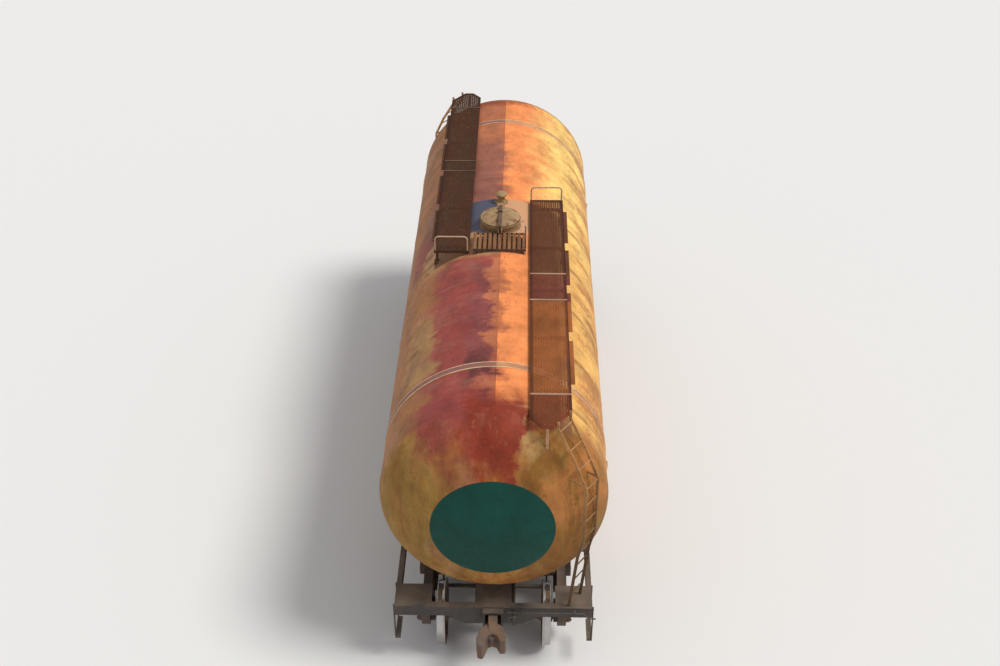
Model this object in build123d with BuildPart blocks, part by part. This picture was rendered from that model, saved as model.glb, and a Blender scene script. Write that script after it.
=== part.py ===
"""Four-axle railway tank car with top walkways, end ladders and three-piece bogies, in millimetres.

+X is along the car, +Z is up. The origin is on the floor under the middle of the car, and the wheels
stand on the floor on their flanges. The car looks the same after half a turn about Z, apart from what
sits by the hatch and the gear that hangs under the frame.
"""

import os
from math import cos, hypot, radians, sin, sqrt, tan

from build123d import *

os.makedirs("parts", exist_ok=True)

# Wheels and axles
tread_r = 478.5
flange_h = 28.0
wheel_w = 130.0
back_to_back = 1440.0
rim_t = 72.0
web_t = 24.0
hub_r = 133.0
hub_proud = 34.0
axle_r = 84.0
seat_r = 97.0
journal_r = 65.0
journal_y = 1018.0
journal_l = 190.0
axle_l = 2294.0
wheel_base = 1850.0
pivot_x = 3900.0

# Axle boxes
box_half = 150.0
box_top = 160.0
box_w = 236.0
box_cover_r = 128.0
box_cover_t = 26.0
journal_gap = 0.3

# Bogie side frames
frame_t = 132.0
frame_l = 2406.0
frame_top = 835.0
frame_bottom = 165.0
frame_lip = 20.0
pocket_depth = 40.0
frame_rib = 14.0
window_round = 24.0
end_window_x = 392.0
end_window_low_z = 322.0
end_window_tip_low_z = 600.0
end_window_tip_z = 692.0
shelf_half_l = 316.0
shelf_w = 212.0
shelf_t = 24.0
shelf_rib_drop = 90.0
hanger_top = 745.0
hanger_block = 60.0
jaw_gap = 3.0
jaw_leg = 72.0
jaw_low = 432.0
window_low_half = 326.0
window_high_half = 240.0
window_step_z = 578.0
window_top_z = 716.0
spring_seat_z = 302.0

# Bogie bolster and springs
bolster_l = 2360.0
bolster_half = 220.0
bolster_low_z = 415.0
bolster_end_h = 162.0
bolster_crown_z = 776.0
spring_h = 235.0
spring_r = 92.0
spring_pitch = 200.0
spring_turns = 6
coil_bar = 31.0
bolster_foot_t = 24.0
bowl_r = 185.0
bowl_floor_z = 801.0
bowl_rim_h = 26.0
plate_r = 150.0
plate_gap = 0.3
side_bearing_y = 762.0
side_bearing_gap = 8.0
side_bearing_h = 52.0

# Brake shoes and beams on the bogies
shoe_gap = 6.0
shoe_t = 52.0
shoe_w = 76.0
shoe_arc = 34.0
shoe_drop = 8.0
beam_r = 30.0

# Frame
frame_half_l = 5400.0
frame_half_w = 1440.0
sill_low_z = 905.0
sill_h = 310.0
sill_gap = 350.0
sill_web = 12.0
sill_flange = 96.0
sill_top_w = 520.0
plate_t = 12.0
beam_half_x = 170.0
beam_tip_h = 175.0
beam_root_drop = 30.0
end_beam_depth = 100.0
end_beam_rise_z = 1030.0
end_beam_low_y = 430.0
end_beam_high_y = 640.0
side_sill_h = 180.0
side_sill_w = 75.0

# Couplers
coupler_z = 1060.0
coupling_half_l = 6010.0
coupler_pivot_x = 5120.0
shank_w = 130.0
shank_h = 175.0
head_h = 290.0
key_r = 40.0
head_round = 12.0
head_edge = 8.0
lock_h = 150.0
horn_h = 45.0
horn_w = 110.0
pin_gap = 0.3
striker_proud = 95.0
striker_open_w = 232.0
striker_open_h = 210.0
striker_wall = 34.0
yoke_t = 26.0
draft_l = 620.0

# Tank
tank_r = 1610.0
tank_z = 2880.0
tank_straight = 4800.0
head_depth = 800.0
seat_gap = 0.2

# Saddles, feet and straps that hold the tank
saddle_x = 400.0
saddle_in = 27.0
saddle_out = 51.0
timber_t = 46.0
saddle_plate_t = 14.0
strap_w = 120.0
strap_t = 10.0
strap_low = 10.0
rod_r = 15.0
foot_x = 780.0
foot_l = 420.0
foot_y = 215.0
foot_w = 90.0
foot_base_t = 18.0
foot_web_t = 22.0

# Manhole and its lid
manhole_r = 285.0
neck_wall = 12.0
neck_h = 120.0
neck_flange_r = 335.0
neck_flange_t = 20.0
pad_r = 430.0
pad_t = 10.0
well_depth = 420.0
lid_r = 325.0
lid_gap = 0.3
lid_rim_t = 18.0
lid_rim_w = 22.0
lid_rise = 88.0
lid_wall = 9.0
lid_pin_x = -392.0
lid_pin_r = 11.0
lug_t = 14.0
lug_half = 42.0
bar_w = 52.0
bar_h = 34.0
eye_x = 398.0
eye_r = 12.0
clamp_boss_r = 34.0
clamp_boss_h = 24.0
clamp_nut_r = 24.0
clamp_nut_h = 22.0
valve_x = -745.0
valve_flange_r = 115.0
valve_flange_t = 18.0
valve_neck_r = 60.0
valve_bonnet_r = 96.0
valve_h = 196.0

# Walkways
deck_in_y = 490.0
deck_out_y = 1050.0
deck_start = -850.0
deck_tip = 5220.0
deck_out_corner = 4870.0
deck_in_corner = 5020.0
deck_tip_in = 640.0
deck_tip_out = 800.0
deck_lift = 62.0
deck_t = 6.0
deck_angle = 45.0
deck_angle_t = 5.0
mesh_rows = 4
mesh_pitch = 250.0
mesh_strand = 14.0
bracket_first = -620.0
bracket_pitch = 1250.0
bracket_count = 5
hoop_h = 250.0
hoop_r = 12.0
toe_w = 60.0
toe_t = 6.0
toe_l = 1020.0
deck_bar_w = 34.0
deck_bar_t = 8.0
stay_w = 40.0
stay_t = 8.0
stay_inset = 24.0

# Platform before the hatch
step_x0 = 372.0
step_x1 = 890.0
step_half = 425.0
step_lift = 12.0
step_frame_h = 36.0
step_frame_t = 6.0
slat_count = 11
slat_w = 52.0
slat_t = 5.0
grab_h = 170.0
grab_r = 10.0
grab_inset = 50.0

# Ladders
rung_r = 10.0
rung_pitch = 300.0
stringer_w = 46.0
stringer_t = 10.0
ladder_w = 290.0
# How far out from the walkway's corner and how high above the rail each bend of the ladder lies.
ladder_bends = [
    (23.0, 4390.0),
    (300.0, 3970.0),
    (500.0, 3580.0),
    (500.0, 2650.0),
    (420.0, 2270.0),
]
ladder_foot_out = 310.0
ladder_stay_z = 3640.0
ladder_stay_l = 420.0
landing_t = 6.0
landing_x0 = 4960.0
landing_in_y = 900.0
stirrup_l = 420.0
stirrup_up = 460.0
tread_w = 80.0
tread_t = 6.0

# Bottom outlet
outlet_r = 105.0
outlet_wall = 8.0
outlet_low_z = 640.0
outlet_gate_r = 165.0
cap_r = 138.0
cap_t = 34.0

# Brake gear under the frame
cylinder_r = 178.0
cylinder_l = 360.0
cylinder_at = (1350.0, 520.0, 850.0)
piston_l = 260.0
piston_r = 26.0
cylinder_rim = 22.0
cylinder_lid_t = 24.0
cylinder_foot_t = 14.0
cylinder_foot_l = 200.0
lever_w = 70.0
reservoir_r = 160.0
reservoir_l = 820.0
reservoir_head = 70.0
reservoir_band_in = 140.0
reservoir_band_w = 50.0
reservoir_at = (-1500.0, -470.0, 850.0)
pipe_r = 21.0
pipe_y = 300.0
pipe_z = 1075.0
hand_wheel_r = 200.0
hand_rim_w = 22.0
hand_spoke_w = 16.0
hand_shaft_r = 14.0
hand_box_l = 160.0
hand_box_h = 150.0
hand_box_t = 64.0
brake_rod_r = 14.0
lever_t = 18.0
bar_r = 11.0

# Heights above the rail become heights above the floor by adding rail_z.
rail_z = flange_h
flange_r = tread_r + flange_h
axle_z = flange_r
tank_axis_z = rail_z + tank_z
tank_top_z = tank_axis_z + tank_r
sill_z = rail_z + sill_low_z
sill_top_z = sill_z + sill_h
wheel_in_y = back_to_back / 2
wheel_out_y = wheel_in_y + wheel_w
tread_y = wheel_in_y + 70.0

# The two ends: name, the sign of X, and the turn about Z that brings the +X end there.
ends = [
    ("front", 1, 0),
    ("rear", -1, 180),
]


def save(builder, name):
    """Label the finished piece and write its file."""
    builder.part.label = name
    export_step(builder.part, f"parts/{name}.step")


def barrel_height(y):
    """Height of the tank's surface above the floor at the distance y from the middle."""
    return tank_axis_z + sqrt(tank_r**2 - y**2)


# Wheelsets: a pressed-on pair of wheels and the axle that carries them.
wheelset_table = [
    # number, place along the car
    (1, pivot_x + wheel_base / 2),
    (2, pivot_x - wheel_base / 2),
    (3, -pivot_x + wheel_base / 2),
    (4, -pivot_x - wheel_base / 2),
]
rim_in_r = tread_r - rim_t
hub_out_y = wheel_out_y + hub_proud
hub_in_y = hub_out_y - 190.0
for number, wheel_x in wheelset_table:
    wheel_plane = Plane((wheel_x, 0, axle_z), x_dir=(0, 1, 0), z_dir=(1, 0, 0))
    spin_axis = Axis((wheel_x, 0, axle_z), (0, 1, 0))
    with BuildPart() as wheels:
        with BuildSketch(wheel_plane):
            with BuildLine():
                tip = Polyline(
                    (wheel_in_y, rim_in_r), (wheel_in_y, flange_r - 16), (wheel_in_y + 4, flange_r - 7)
                )
                crest = ThreePointArc(
                    tip @ 1, (wheel_in_y + 14, flange_r), (wheel_in_y + 25, flange_r - 8)
                )
                Polyline(
                    crest @ 1,
                    (wheel_in_y + 33, tread_r + 6),
                    (wheel_in_y + 48, tread_r + 1),
                    (wheel_out_y - 8, tread_r - 4),
                    (wheel_out_y, tread_r - 12),
                    (wheel_out_y, rim_in_r),
                    (wheel_in_y + 65 + web_t, rim_in_r - 14),
                    (hub_out_y - 70, hub_r + 26),
                    (hub_out_y, hub_r - 6),
                    (hub_out_y, seat_r),
                    (hub_in_y, seat_r),
                    (hub_in_y, hub_r - 6),
                    (hub_out_y - 70 - web_t - 10, hub_r + 26),
                    (wheel_in_y + 65 - web_t, rim_in_r - 14),
                    (wheel_in_y, rim_in_r),
                )
            make_face()
        revolve(axis=spin_axis)
        mirror(about=Plane.XZ)
    save(wheels, f"wheels_{number}")

    with BuildPart() as axle:
        with BuildSketch(wheel_plane):
            with BuildLine():
                Polyline(
                    (0, 0),
                    (0, axle_r - 4),
                    (hub_in_y - 60, axle_r),
                    (hub_in_y - 20, seat_r),
                    (hub_out_y + 6, seat_r),
                    (hub_out_y + 14, journal_r + 17),
                    (journal_y - journal_l / 2 - 12, journal_r + 17),
                    (journal_y - journal_l / 2, journal_r),
                    (journal_y + journal_l / 2, journal_r),
                    (axle_l / 2, journal_r - 10),
                    (axle_l / 2, 0),
                    (0, 0),
                )
            make_face()
        revolve(axis=spin_axis)
        mirror(about=Plane.XZ)
    save(axle, f"axle_{number}")

# Bogies: cast side frames on the axle boxes, springs in their windows, and the bolster on the springs.
box_in_y = journal_y - box_w / 2
box_out_y = journal_y + box_w / 2
jaw_in = wheel_base / 2 - box_half - jaw_gap
jaw_out = wheel_base / 2 + box_half + jaw_gap
jaw_roof_z = axle_z + box_top
seat_z = rail_z + spring_seat_z
bolster_end_low_z = seat_z + spring_h
frame_in_y = journal_y - frame_t / 2
frame_out_y = journal_y + frame_t / 2
shoe_x = wheel_base / 2 - tread_r - shoe_gap
shoe_y = tread_y + 10
beam_back = shoe_x - shoe_t - beam_r - 4
jaw_roof = jaw_roof_z - rail_z
leg_x = jaw_in - jaw_leg
frame_outline = [
    # along the bogie from its middle, height above the rail
    (0, frame_top),
    (560, frame_top),
    (jaw_in, frame_top - 45),
    (jaw_out - 20, frame_top - 60),
    (frame_l / 2, frame_top - 110),
    (frame_l / 2, 590),
    (jaw_out + jaw_leg - 14, jaw_low),
    (jaw_out, jaw_low),
    (jaw_out, jaw_roof),
    (jaw_in, jaw_roof),
    (jaw_in, jaw_low),
    (leg_x, jaw_low),
    (leg_x - 16, jaw_low + 8),
    (440, frame_bottom + 18),
    (370, frame_bottom),
    (0, frame_bottom),
]
# The casting is a web with a lip round its edge and round each window, and a few ribs.
with BuildSketch() as frame_windows:
    with Locations((0, (spring_seat_z + window_step_z) / 2)):
        Rectangle(2 * window_low_half, window_step_z - spring_seat_z)
    with Locations((0, (window_step_z + window_top_z) / 2)):
        Rectangle(2 * window_high_half, window_top_z - window_step_z)
    for side in (-1, 1):
        with BuildLine():
            Polyline(
                (side * end_window_x, end_window_low_z),
                (side * end_window_x, window_top_z),
                (side * leg_x, end_window_tip_z),
                (side * leg_x, end_window_tip_low_z),
                close=True,
            )
        make_face()
    fillet(frame_windows.vertices(), window_round)
with BuildSketch() as frame_profile:
    with BuildLine():
        Polyline(*frame_outline)
        mirror(about=Plane.YZ)
    make_face()
    add(frame_windows.sketch, mode=Mode.SUBTRACT)
frame_ribs = [-560, -150, 150, 560]
with BuildSketch() as frame_pockets:
    with BuildLine():
        Polyline(*frame_outline)
        mirror(about=Plane.YZ)
    whole = make_face()
    offset(whole, -frame_lip, mode=Mode.REPLACE)
    offset(frame_windows.sketch, frame_lip, mode=Mode.SUBTRACT)
    with Locations(*[(x, frame_top / 2) for x in frame_ribs]):
        Rectangle(frame_rib, 2 * frame_top, mode=Mode.SUBTRACT)
shelf_ribs = [-240, 0, 240]
coil_pitch = spring_h / spring_turns
spring_outline = [(0, 0)]
for turn_number in range(spring_turns):
    low = turn_number * coil_pitch
    spring_outline += [
        (spring_r - coil_bar / 2, low),
        (spring_r, low + coil_pitch / 4),
        (spring_r, low + 3 * coil_pitch / 4),
    ]
spring_outline += [(spring_r - coil_bar / 2, spring_h), (0, spring_h)]
spring_table = [
    # along the car, in pitches from the nest's middle
    -1,
    0,
    1,
]
side_table = [
    # sign of Y
    1,
    -1,
]
for end_name, sign, turn in ends:
    bogie_x = sign * pivot_x

    with BuildPart() as axle_boxes:
        for wheel_x in (bogie_x - wheel_base / 2, bogie_x + wheel_base / 2):
            with BuildSketch(Plane((wheel_x, box_out_y, axle_z), x_dir=(1, 0, 0), z_dir=(0, -1, 0))):
                Circle(box_half - 14)
                with Locations((0, box_top / 2)):
                    Rectangle(2 * box_half, box_top)
            extrude(amount=box_w)
            with BuildSketch(Plane((wheel_x, box_out_y, axle_z), x_dir=(1, 0, 0), z_dir=(0, 1, 0))):
                Circle(box_cover_r)
            extrude(amount=box_cover_t)
            with BuildSketch(Plane((wheel_x, box_in_y, axle_z), x_dir=(1, 0, 0), z_dir=(0, 1, 0))):
                Circle(journal_r + journal_gap)
            extrude(amount=axle_l / 2 + 8 - box_in_y, mode=Mode.SUBTRACT)
            with BuildSketch(Plane((wheel_x, box_in_y, axle_z), x_dir=(1, 0, 0), z_dir=(0, 1, 0))):
                Circle(journal_r + 17 + 3)
            extrude(amount=journal_y - journal_l / 2 + 6 - box_in_y, mode=Mode.SUBTRACT)
        mirror(about=Plane.XZ)
    save(axle_boxes, f"axle_boxes_{end_name}")

    with BuildPart() as side_frames:
        outer_plane = Plane((bogie_x, frame_out_y, rail_z), x_dir=(1, 0, 0), z_dir=(0, -1, 0))
        with BuildSketch(outer_plane):
            add(frame_profile.sketch)
        extrude(amount=frame_t)
        with BuildSketch(outer_plane):
            add(frame_pockets.sketch)
        extrude(amount=pocket_depth, mode=Mode.SUBTRACT)
        # Shelf under the springs, with ribs below it.
        with BuildSketch(Plane((bogie_x, journal_y, seat_z - shelf_t))):
            Rectangle(2 * shelf_half_l, shelf_w)
        extrude(amount=shelf_t)
        for rib_x in shelf_ribs:
            with BuildSketch(Plane((bogie_x + rib_x, journal_y, seat_z), x_dir=(0, 1, 0), z_dir=(1, 0, 0))):
                with BuildLine():
                    Polyline(
                        (0, -shelf_t / 2),
                        (shelf_w / 2 - 4, -shelf_t / 2),
                        (shelf_w / 2 - 4, -shelf_t - 6),
                        (frame_t / 2 - 6, -shelf_t - shelf_rib_drop),
                        (0, -shelf_t - shelf_rib_drop),
                    )
                    mirror(about=Plane.YZ)
                make_face()
            extrude(amount=frame_rib / 2, both=True)
        # Brackets on the inner face from which the brake beams hang.
        for wheel_side in (-1, 1):
            with BuildSketch(
                Plane(
                    (bogie_x + wheel_side * beam_back, frame_in_y, rail_z + hanger_top + 25),
                    x_dir=(1, 0, 0),
                    z_dir=(0, -1, 0),
                )
            ):
                Rectangle(hanger_block, 50)
            extrude(amount=frame_in_y - shoe_y + hanger_block / 2)
        mirror(about=Plane.XZ)
    save(side_frames, f"side_frames_{end_name}")

    with BuildPart() as springs:
        for side in side_table:
            for along in spring_table:
                at = (bogie_x + along * spring_pitch, side * journal_y, seat_z)
                with BuildSketch(Plane(at, x_dir=(1, 0, 0), z_dir=(0, -1, 0))):
                    with BuildLine():
                        Polyline(*spring_outline, close=True)
                    make_face()
                revolve(axis=Axis(at, (0, 0, 1)))
    save(springs, f"springs_{end_name}")

    with BuildPart() as bolster:
        with BuildSketch(Plane((bogie_x, 0, rail_z), x_dir=(0, 1, 0), z_dir=(1, 0, 0))):
            with BuildLine():
                end_low = bolster_end_low_z - rail_z
                end_top = end_low + bolster_end_h
                Polyline(
                    (0, bolster_crown_z),
                    (bowl_r + 60, bolster_crown_z),
                    (bolster_l / 2 - 260, end_top),
                    (bolster_l / 2, end_top),
                    (bolster_l / 2, end_low),
                    (frame_in_y - 140, end_low),
                    (360, bolster_low_z),
                    (0, bolster_low_z),
                )
                mirror(about=Plane.YZ)
            make_face()
        extrude(amount=bolster_half - 4, both=True)
        for side in side_table:
            with BuildSketch(Plane((bogie_x, side * journal_y, bolster_end_low_z))):
                Rectangle(2 * (spring_pitch + spring_r), 2 * spring_r)
            extrude(amount=bolster_foot_t)
        with BuildSketch(Plane((bogie_x, 0, rail_z + bolster_crown_z))):
            Circle(bowl_r)
        extrude(amount=bowl_floor_z + bowl_rim_h - bolster_crown_z)
        with BuildSketch(Plane((bogie_x, 0, rail_z + bowl_floor_z))):
            Circle(plate_r + 6)
        extrude(amount=bowl_rim_h, mode=Mode.SUBTRACT)
        for side in side_table:
            with BuildSketch(Plane((bogie_x, side * side_bearing_y, rail_z + bolster_crown_z - 80))):
                Rectangle(260, 130)
            extrude(amount=80 + side_bearing_h)
    save(bolster, f"bolster_{end_name}")

    with BuildPart() as brake_beams:
        for wheel_side in (-1, 1):
            wheel_x = bogie_x + wheel_side * wheel_base / 2
            back_x = bogie_x + wheel_side * beam_back
            beam_z = axle_z - 40
            with BuildSketch(Plane((back_x, 0, beam_z), x_dir=(1, 0, 0), z_dir=(0, 1, 0))):
                Circle(beam_r)
            extrude(amount=shoe_y + shoe_w / 2, both=True)
            for side in side_table:
                shoe_plane = Plane(
                    (wheel_x, side * shoe_y, axle_z), x_dir=(-wheel_side, 0, 0), z_dir=(0, wheel_side, 0)
                )
                with BuildSketch(shoe_plane):
                    Circle(tread_r + shoe_gap + shoe_t)
                    Circle(tread_r + shoe_gap, mode=Mode.SUBTRACT)
                    with BuildLine():
                        reach = tread_r + shoe_gap + shoe_t + 60
                        high = radians(shoe_arc / 2 - shoe_drop)
                        low = radians(-shoe_arc / 2 - shoe_drop)
                        Polyline(
                            (0, 0),
                            (reach * cos(high), reach * sin(high)),
                            (reach * 1.2, 0),
                            (reach * cos(low), reach * sin(low)),
                            close=True,
                        )
                    make_face(mode=Mode.INTERSECT)
                extrude(amount=shoe_w / 2, both=True)
                with BuildSketch(Plane((back_x, side * shoe_y, beam_z - beam_r))):
                    with Locations((wheel_side * 20, 0)):
                        Rectangle(60, shoe_w - 16)
                extrude(amount=2 * beam_r)
                with BuildSketch(Plane((back_x, side * shoe_y, beam_z))):
                    Rectangle(40, 26)
                extrude(amount=rail_z + hanger_top - beam_z)
    save(brake_beams, f"brake_beams_{end_name}")

# Frame: a centre sill of two channels under a top plate, bolster beams, end beams and short side sills.
body_plane = Plane((0, 0, 0), x_dir=(0, 1, 0), z_dir=(1, 0, 0))
web_in_y = sill_gap / 2
web_out_y = web_in_y + sill_web
end_beam_in_x = frame_half_l - end_beam_depth
with BuildPart() as centre_sill:
    with BuildSketch(body_plane):
        for side in side_table:
            with BuildLine():
                Polyline(
                    (side * web_in_y, sill_z),
                    (side * (web_out_y + sill_flange), sill_z),
                    (side * (web_out_y + sill_flange), sill_z + plate_t),
                    (side * web_out_y, sill_z + plate_t),
                    (side * web_out_y, sill_top_z - plate_t),
                    (side * web_in_y, sill_top_z - plate_t),
                    close=True,
                )
            make_face()
        with Locations((0, sill_top_z - plate_t / 2)):
            Rectangle(sill_top_w, plate_t)
    extrude(amount=end_beam_in_x, both=True)
    # The bottom outlet passes up between the channels, through the top plate.
    with BuildSketch(Plane((0, 0, sill_top_z - plate_t - 5))):
        Circle(outlet_gate_r + 6)
    extrude(amount=plate_t + 10, mode=Mode.SUBTRACT)
save(centre_sill, "centre_sill")

beam_low_root_z = sill_z - beam_root_drop
beam_tip_y = frame_half_w - side_sill_w
plate_face_z = rail_z + bowl_floor_z + plate_gap
bogie_bearing_top = rail_z + bolster_crown_z + side_bearing_h
with BuildPart() as bolster_beams:
    for end_name, sign, turn in ends:
        with BuildSketch(Plane((sign * pivot_x, 0, 0), x_dir=(0, 1, 0), z_dir=(1, 0, 0))):
            for side in side_table:
                with BuildLine():
                    Polyline(
                        (side * web_out_y, sill_z + plate_t),
                        (side * (web_out_y + sill_flange), sill_z + plate_t),
                        (side * (web_out_y + sill_flange), beam_low_root_z),
                        (side * beam_tip_y, sill_top_z - plate_t - beam_tip_h),
                        (side * beam_tip_y, sill_top_z - plate_t),
                        (side * web_out_y, sill_top_z - plate_t),
                        close=True,
                    )
                make_face()
        extrude(amount=beam_half_x, both=True)
        # Cover plate on top, outside the sill's own plate, and the bottom plate under the sill.
        for side in side_table:
            with BuildSketch(
                Plane((sign * pivot_x, side * (sill_top_w / 2 + beam_tip_y) / 2, sill_top_z - plate_t))
            ):
                Rectangle(2 * beam_half_x + 60, beam_tip_y - sill_top_w / 2)
            extrude(amount=plate_t)
        with BuildSketch(Plane((sign * pivot_x, 0, beam_low_root_z))):
            Rectangle(2 * beam_half_x, 2 * (web_out_y + sill_flange))
        extrude(amount=sill_z - beam_low_root_z)
        # Centre plate in the bogie's bowl, and the two side bearings.
        with BuildSketch(Plane((sign * pivot_x, 0, plate_face_z))):
            Circle(plate_r)
        extrude(amount=beam_low_root_z - plate_face_z)
        for side in side_table:
            with BuildSketch(
                Plane((sign * pivot_x, side * side_bearing_y, bogie_bearing_top + side_bearing_gap))
            ):
                Rectangle(220, 120)
            extrude(amount=sill_z + 70 - bogie_bearing_top - side_bearing_gap)
        # Holes for the brake pipe.
        with BuildSketch(Plane((sign * pivot_x, pipe_y, rail_z + pipe_z), x_dir=(0, 1, 0), z_dir=(1, 0, 0))):
            Circle(pipe_r + 5)
        extrude(amount=beam_half_x + 40, both=True, mode=Mode.SUBTRACT)
save(bolster_beams, "bolster_beams")

coupler_axis_z = rail_z + coupler_z
with BuildPart() as end_beams:
    for end_name, sign, turn in ends:
        with BuildSketch(Plane((sign * end_beam_in_x, 0, 0), x_dir=(0, 1, 0), z_dir=(1, 0, 0))):
            with BuildLine():
                Polyline(
                    (0, sill_z - 30),
                    (end_beam_low_y, sill_z - 30),
                    (end_beam_high_y, rail_z + end_beam_rise_z),
                    (frame_half_w, rail_z + end_beam_rise_z),
                    (frame_half_w, sill_top_z),
                    (0, sill_top_z),
                )
                mirror(about=Plane.YZ)
            make_face()
        extrude(amount=sign * end_beam_depth)
        # The beam is a channel, open to the inside, with a window for the coupler's shank.
        with BuildSketch(Plane((sign * end_beam_in_x, 0, 0), x_dir=(0, 1, 0), z_dir=(1, 0, 0))):
            for side in side_table:
                with BuildLine():
                    Polyline(
                        (side * (web_out_y + sill_flange), sill_z - 30 + plate_t),
                        (side * (end_beam_low_y - 5), sill_z - 30 + plate_t),
                        (side * (end_beam_high_y - 5), rail_z + end_beam_rise_z + plate_t),
                        (side * (frame_half_w - plate_t), rail_z + end_beam_rise_z + plate_t),
                        (side * (frame_half_w - plate_t), sill_top_z - plate_t),
                        (side * (web_out_y + sill_flange), sill_top_z - plate_t),
                        close=True,
                    )
                make_face()
        extrude(amount=sign * (end_beam_depth - plate_t), mode=Mode.SUBTRACT)
        with BuildSketch(
            Plane((sign * end_beam_in_x, 0, coupler_axis_z), x_dir=(0, 1, 0), z_dir=(sign, 0, 0))
        ):
            Rectangle(striker_open_w + 2 * striker_wall, striker_open_h + 2 * striker_wall)
        extrude(amount=end_beam_depth + striker_proud)
        with BuildSketch(
            Plane((sign * end_beam_in_x, 0, coupler_axis_z), x_dir=(0, 1, 0), z_dir=(sign, 0, 0))
        ):
            Rectangle(striker_open_w, striker_open_h)
        extrude(amount=end_beam_depth + striker_proud, mode=Mode.SUBTRACT)
        with BuildSketch(
            Plane((sign * end_beam_in_x, pipe_y, rail_z + pipe_z), x_dir=(0, 1, 0), z_dir=(sign, 0, 0))
        ):
            Circle(pipe_r + 3)
        extrude(amount=end_beam_depth, mode=Mode.SUBTRACT)
save(end_beams, "end_beams")

with BuildPart() as side_sills:
    for end_name, sign, turn in ends:
        sill_start = pivot_x - beam_half_x - 30
        for side in side_table:
            with BuildSketch(
                Plane((sign * sill_start, 0, 0), x_dir=(0, 1, 0), z_dir=(1, 0, 0))
            ):
                with BuildLine():
                    low = sill_top_z - side_sill_h
                    Polyline(
                        (side * frame_half_w, low),
                        (side * beam_tip_y, low),
                        (side * beam_tip_y, sill_top_z),
                        (side * frame_half_w, sill_top_z),
                        (side * frame_half_w, sill_top_z - plate_t),
                        (side * (beam_tip_y + plate_t), sill_top_z - plate_t),
                        (side * (beam_tip_y + plate_t), low + plate_t),
                        (side * frame_half_w, low + plate_t),
                        close=True,
                    )
                make_face()
            extrude(amount=sign * (end_beam_in_x - sill_start))
save(side_sills, "side_sills")

# Couplers: the head and shank swing on the key in the yoke of the draft gear.
yoke_gap = 6.0
with BuildPart() as draft_gear:
    for end_name, sign, turn in ends:
        with BuildSketch(
            Plane((sign * (coupler_pivot_x + 70), 0, coupler_axis_z), x_dir=(1, 0, 0), z_dir=(0, 1, 0))
        ):
            strap_half = shank_h / 2 + yoke_gap + yoke_t
            with Locations((-sign * draft_l / 2, 0)):
                Rectangle(draft_l, 2 * strap_half)
            with Locations((-sign * 90, 0)):
                Rectangle(180, 2 * (strap_half - yoke_t), mode=Mode.SUBTRACT)
        extrude(amount=yoke_t * 3, both=True)
        with BuildSketch(Plane((sign * coupler_pivot_x, 0, coupler_axis_z - strap_half - 14))):
            Circle(key_r)
        extrude(amount=2 * strap_half + 20)
        # Stops between the sill's webs, at both ends of the yoke.
        for stop_x in (coupler_pivot_x + 70 - draft_l - 22, coupler_pivot_x - 150):
            for side in side_table:
                with BuildSketch(
                    Plane((sign * stop_x, side * (yoke_t * 3 + web_in_y) / 2, coupler_axis_z - 80))
                ):
                    Rectangle(44, web_in_y - yoke_t * 3)
                extrude(amount=160)
        with BuildSketch(
            Plane((sign * (coupler_pivot_x + 70 - draft_l - 22), 0, coupler_axis_z - 80))
        ):
            Rectangle(44, 2 * yoke_t * 3)
        extrude(amount=160)
save(draft_gear, "draft_gear")

head_outline = [
    # out from the coupling line, across the car
    (-330, 65),
    (-250, 160),
    (-70, 192),
    (-15, 180),
    (-8, 108),
    (-112, 62),
    (-140, -8),
    (-104, -66),
    (46, -112),
    (92, -142),
    (72, -206),
    (-60, -228),
    (-250, -160),
    (-330, -65),
]
for end_name, sign, turn in ends:
    with BuildPart() as coupler:
        head_plane = Plane((sign * coupling_half_l, 0, coupler_axis_z), x_dir=(sign, 0, 0), z_dir=(0, 0, 1))
        with BuildSketch(head_plane) as head_face:
            with BuildLine():
                Polyline(*head_outline, close=True)
            make_face()
            fillet(head_face.vertices(), head_round)
        extrude(amount=head_h / 2, both=True)
        chamfer(coupler.faces().filter_by(Axis.Z).edges(), head_edge)
        # The lock's nose in the mouth, and the horn that meets the striker.
        with BuildSketch(head_plane):
            Polygon((-150, 35), (-98, 30), (-96, -36), (-150, -44), align=None)
        extrude(amount=lock_h / 2, both=True)
        with BuildSketch(Plane(head_plane.origin, x_dir=(sign, 0, 0), z_dir=(0, -sign, 0))):
            Polygon(
                (-326, head_h / 2 - 60),
                (-326, head_h / 2 + horn_h),
                (-286, head_h / 2 + horn_h),
                (-190, head_h / 2 - head_edge),
                (-190, head_h / 2 - 60),
                align=None,
            )
        extrude(amount=horn_w / 2, both=True)
        with BuildSketch(
            Plane((sign * (coupler_pivot_x - 66), 0, coupler_axis_z), x_dir=(0, 1, 0), z_dir=(sign, 0, 0))
        ):
            Rectangle(shank_w, shank_h)
        extrude(amount=coupling_half_l - coupler_pivot_x + 66 - 300)
        with BuildSketch(Plane((sign * coupler_pivot_x, 0, coupler_axis_z - shank_h / 2))):
            Circle(key_r + pin_gap)
        extrude(amount=shank_h, mode=Mode.SUBTRACT)
    save(coupler, f"coupler_{end_name}")

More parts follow.
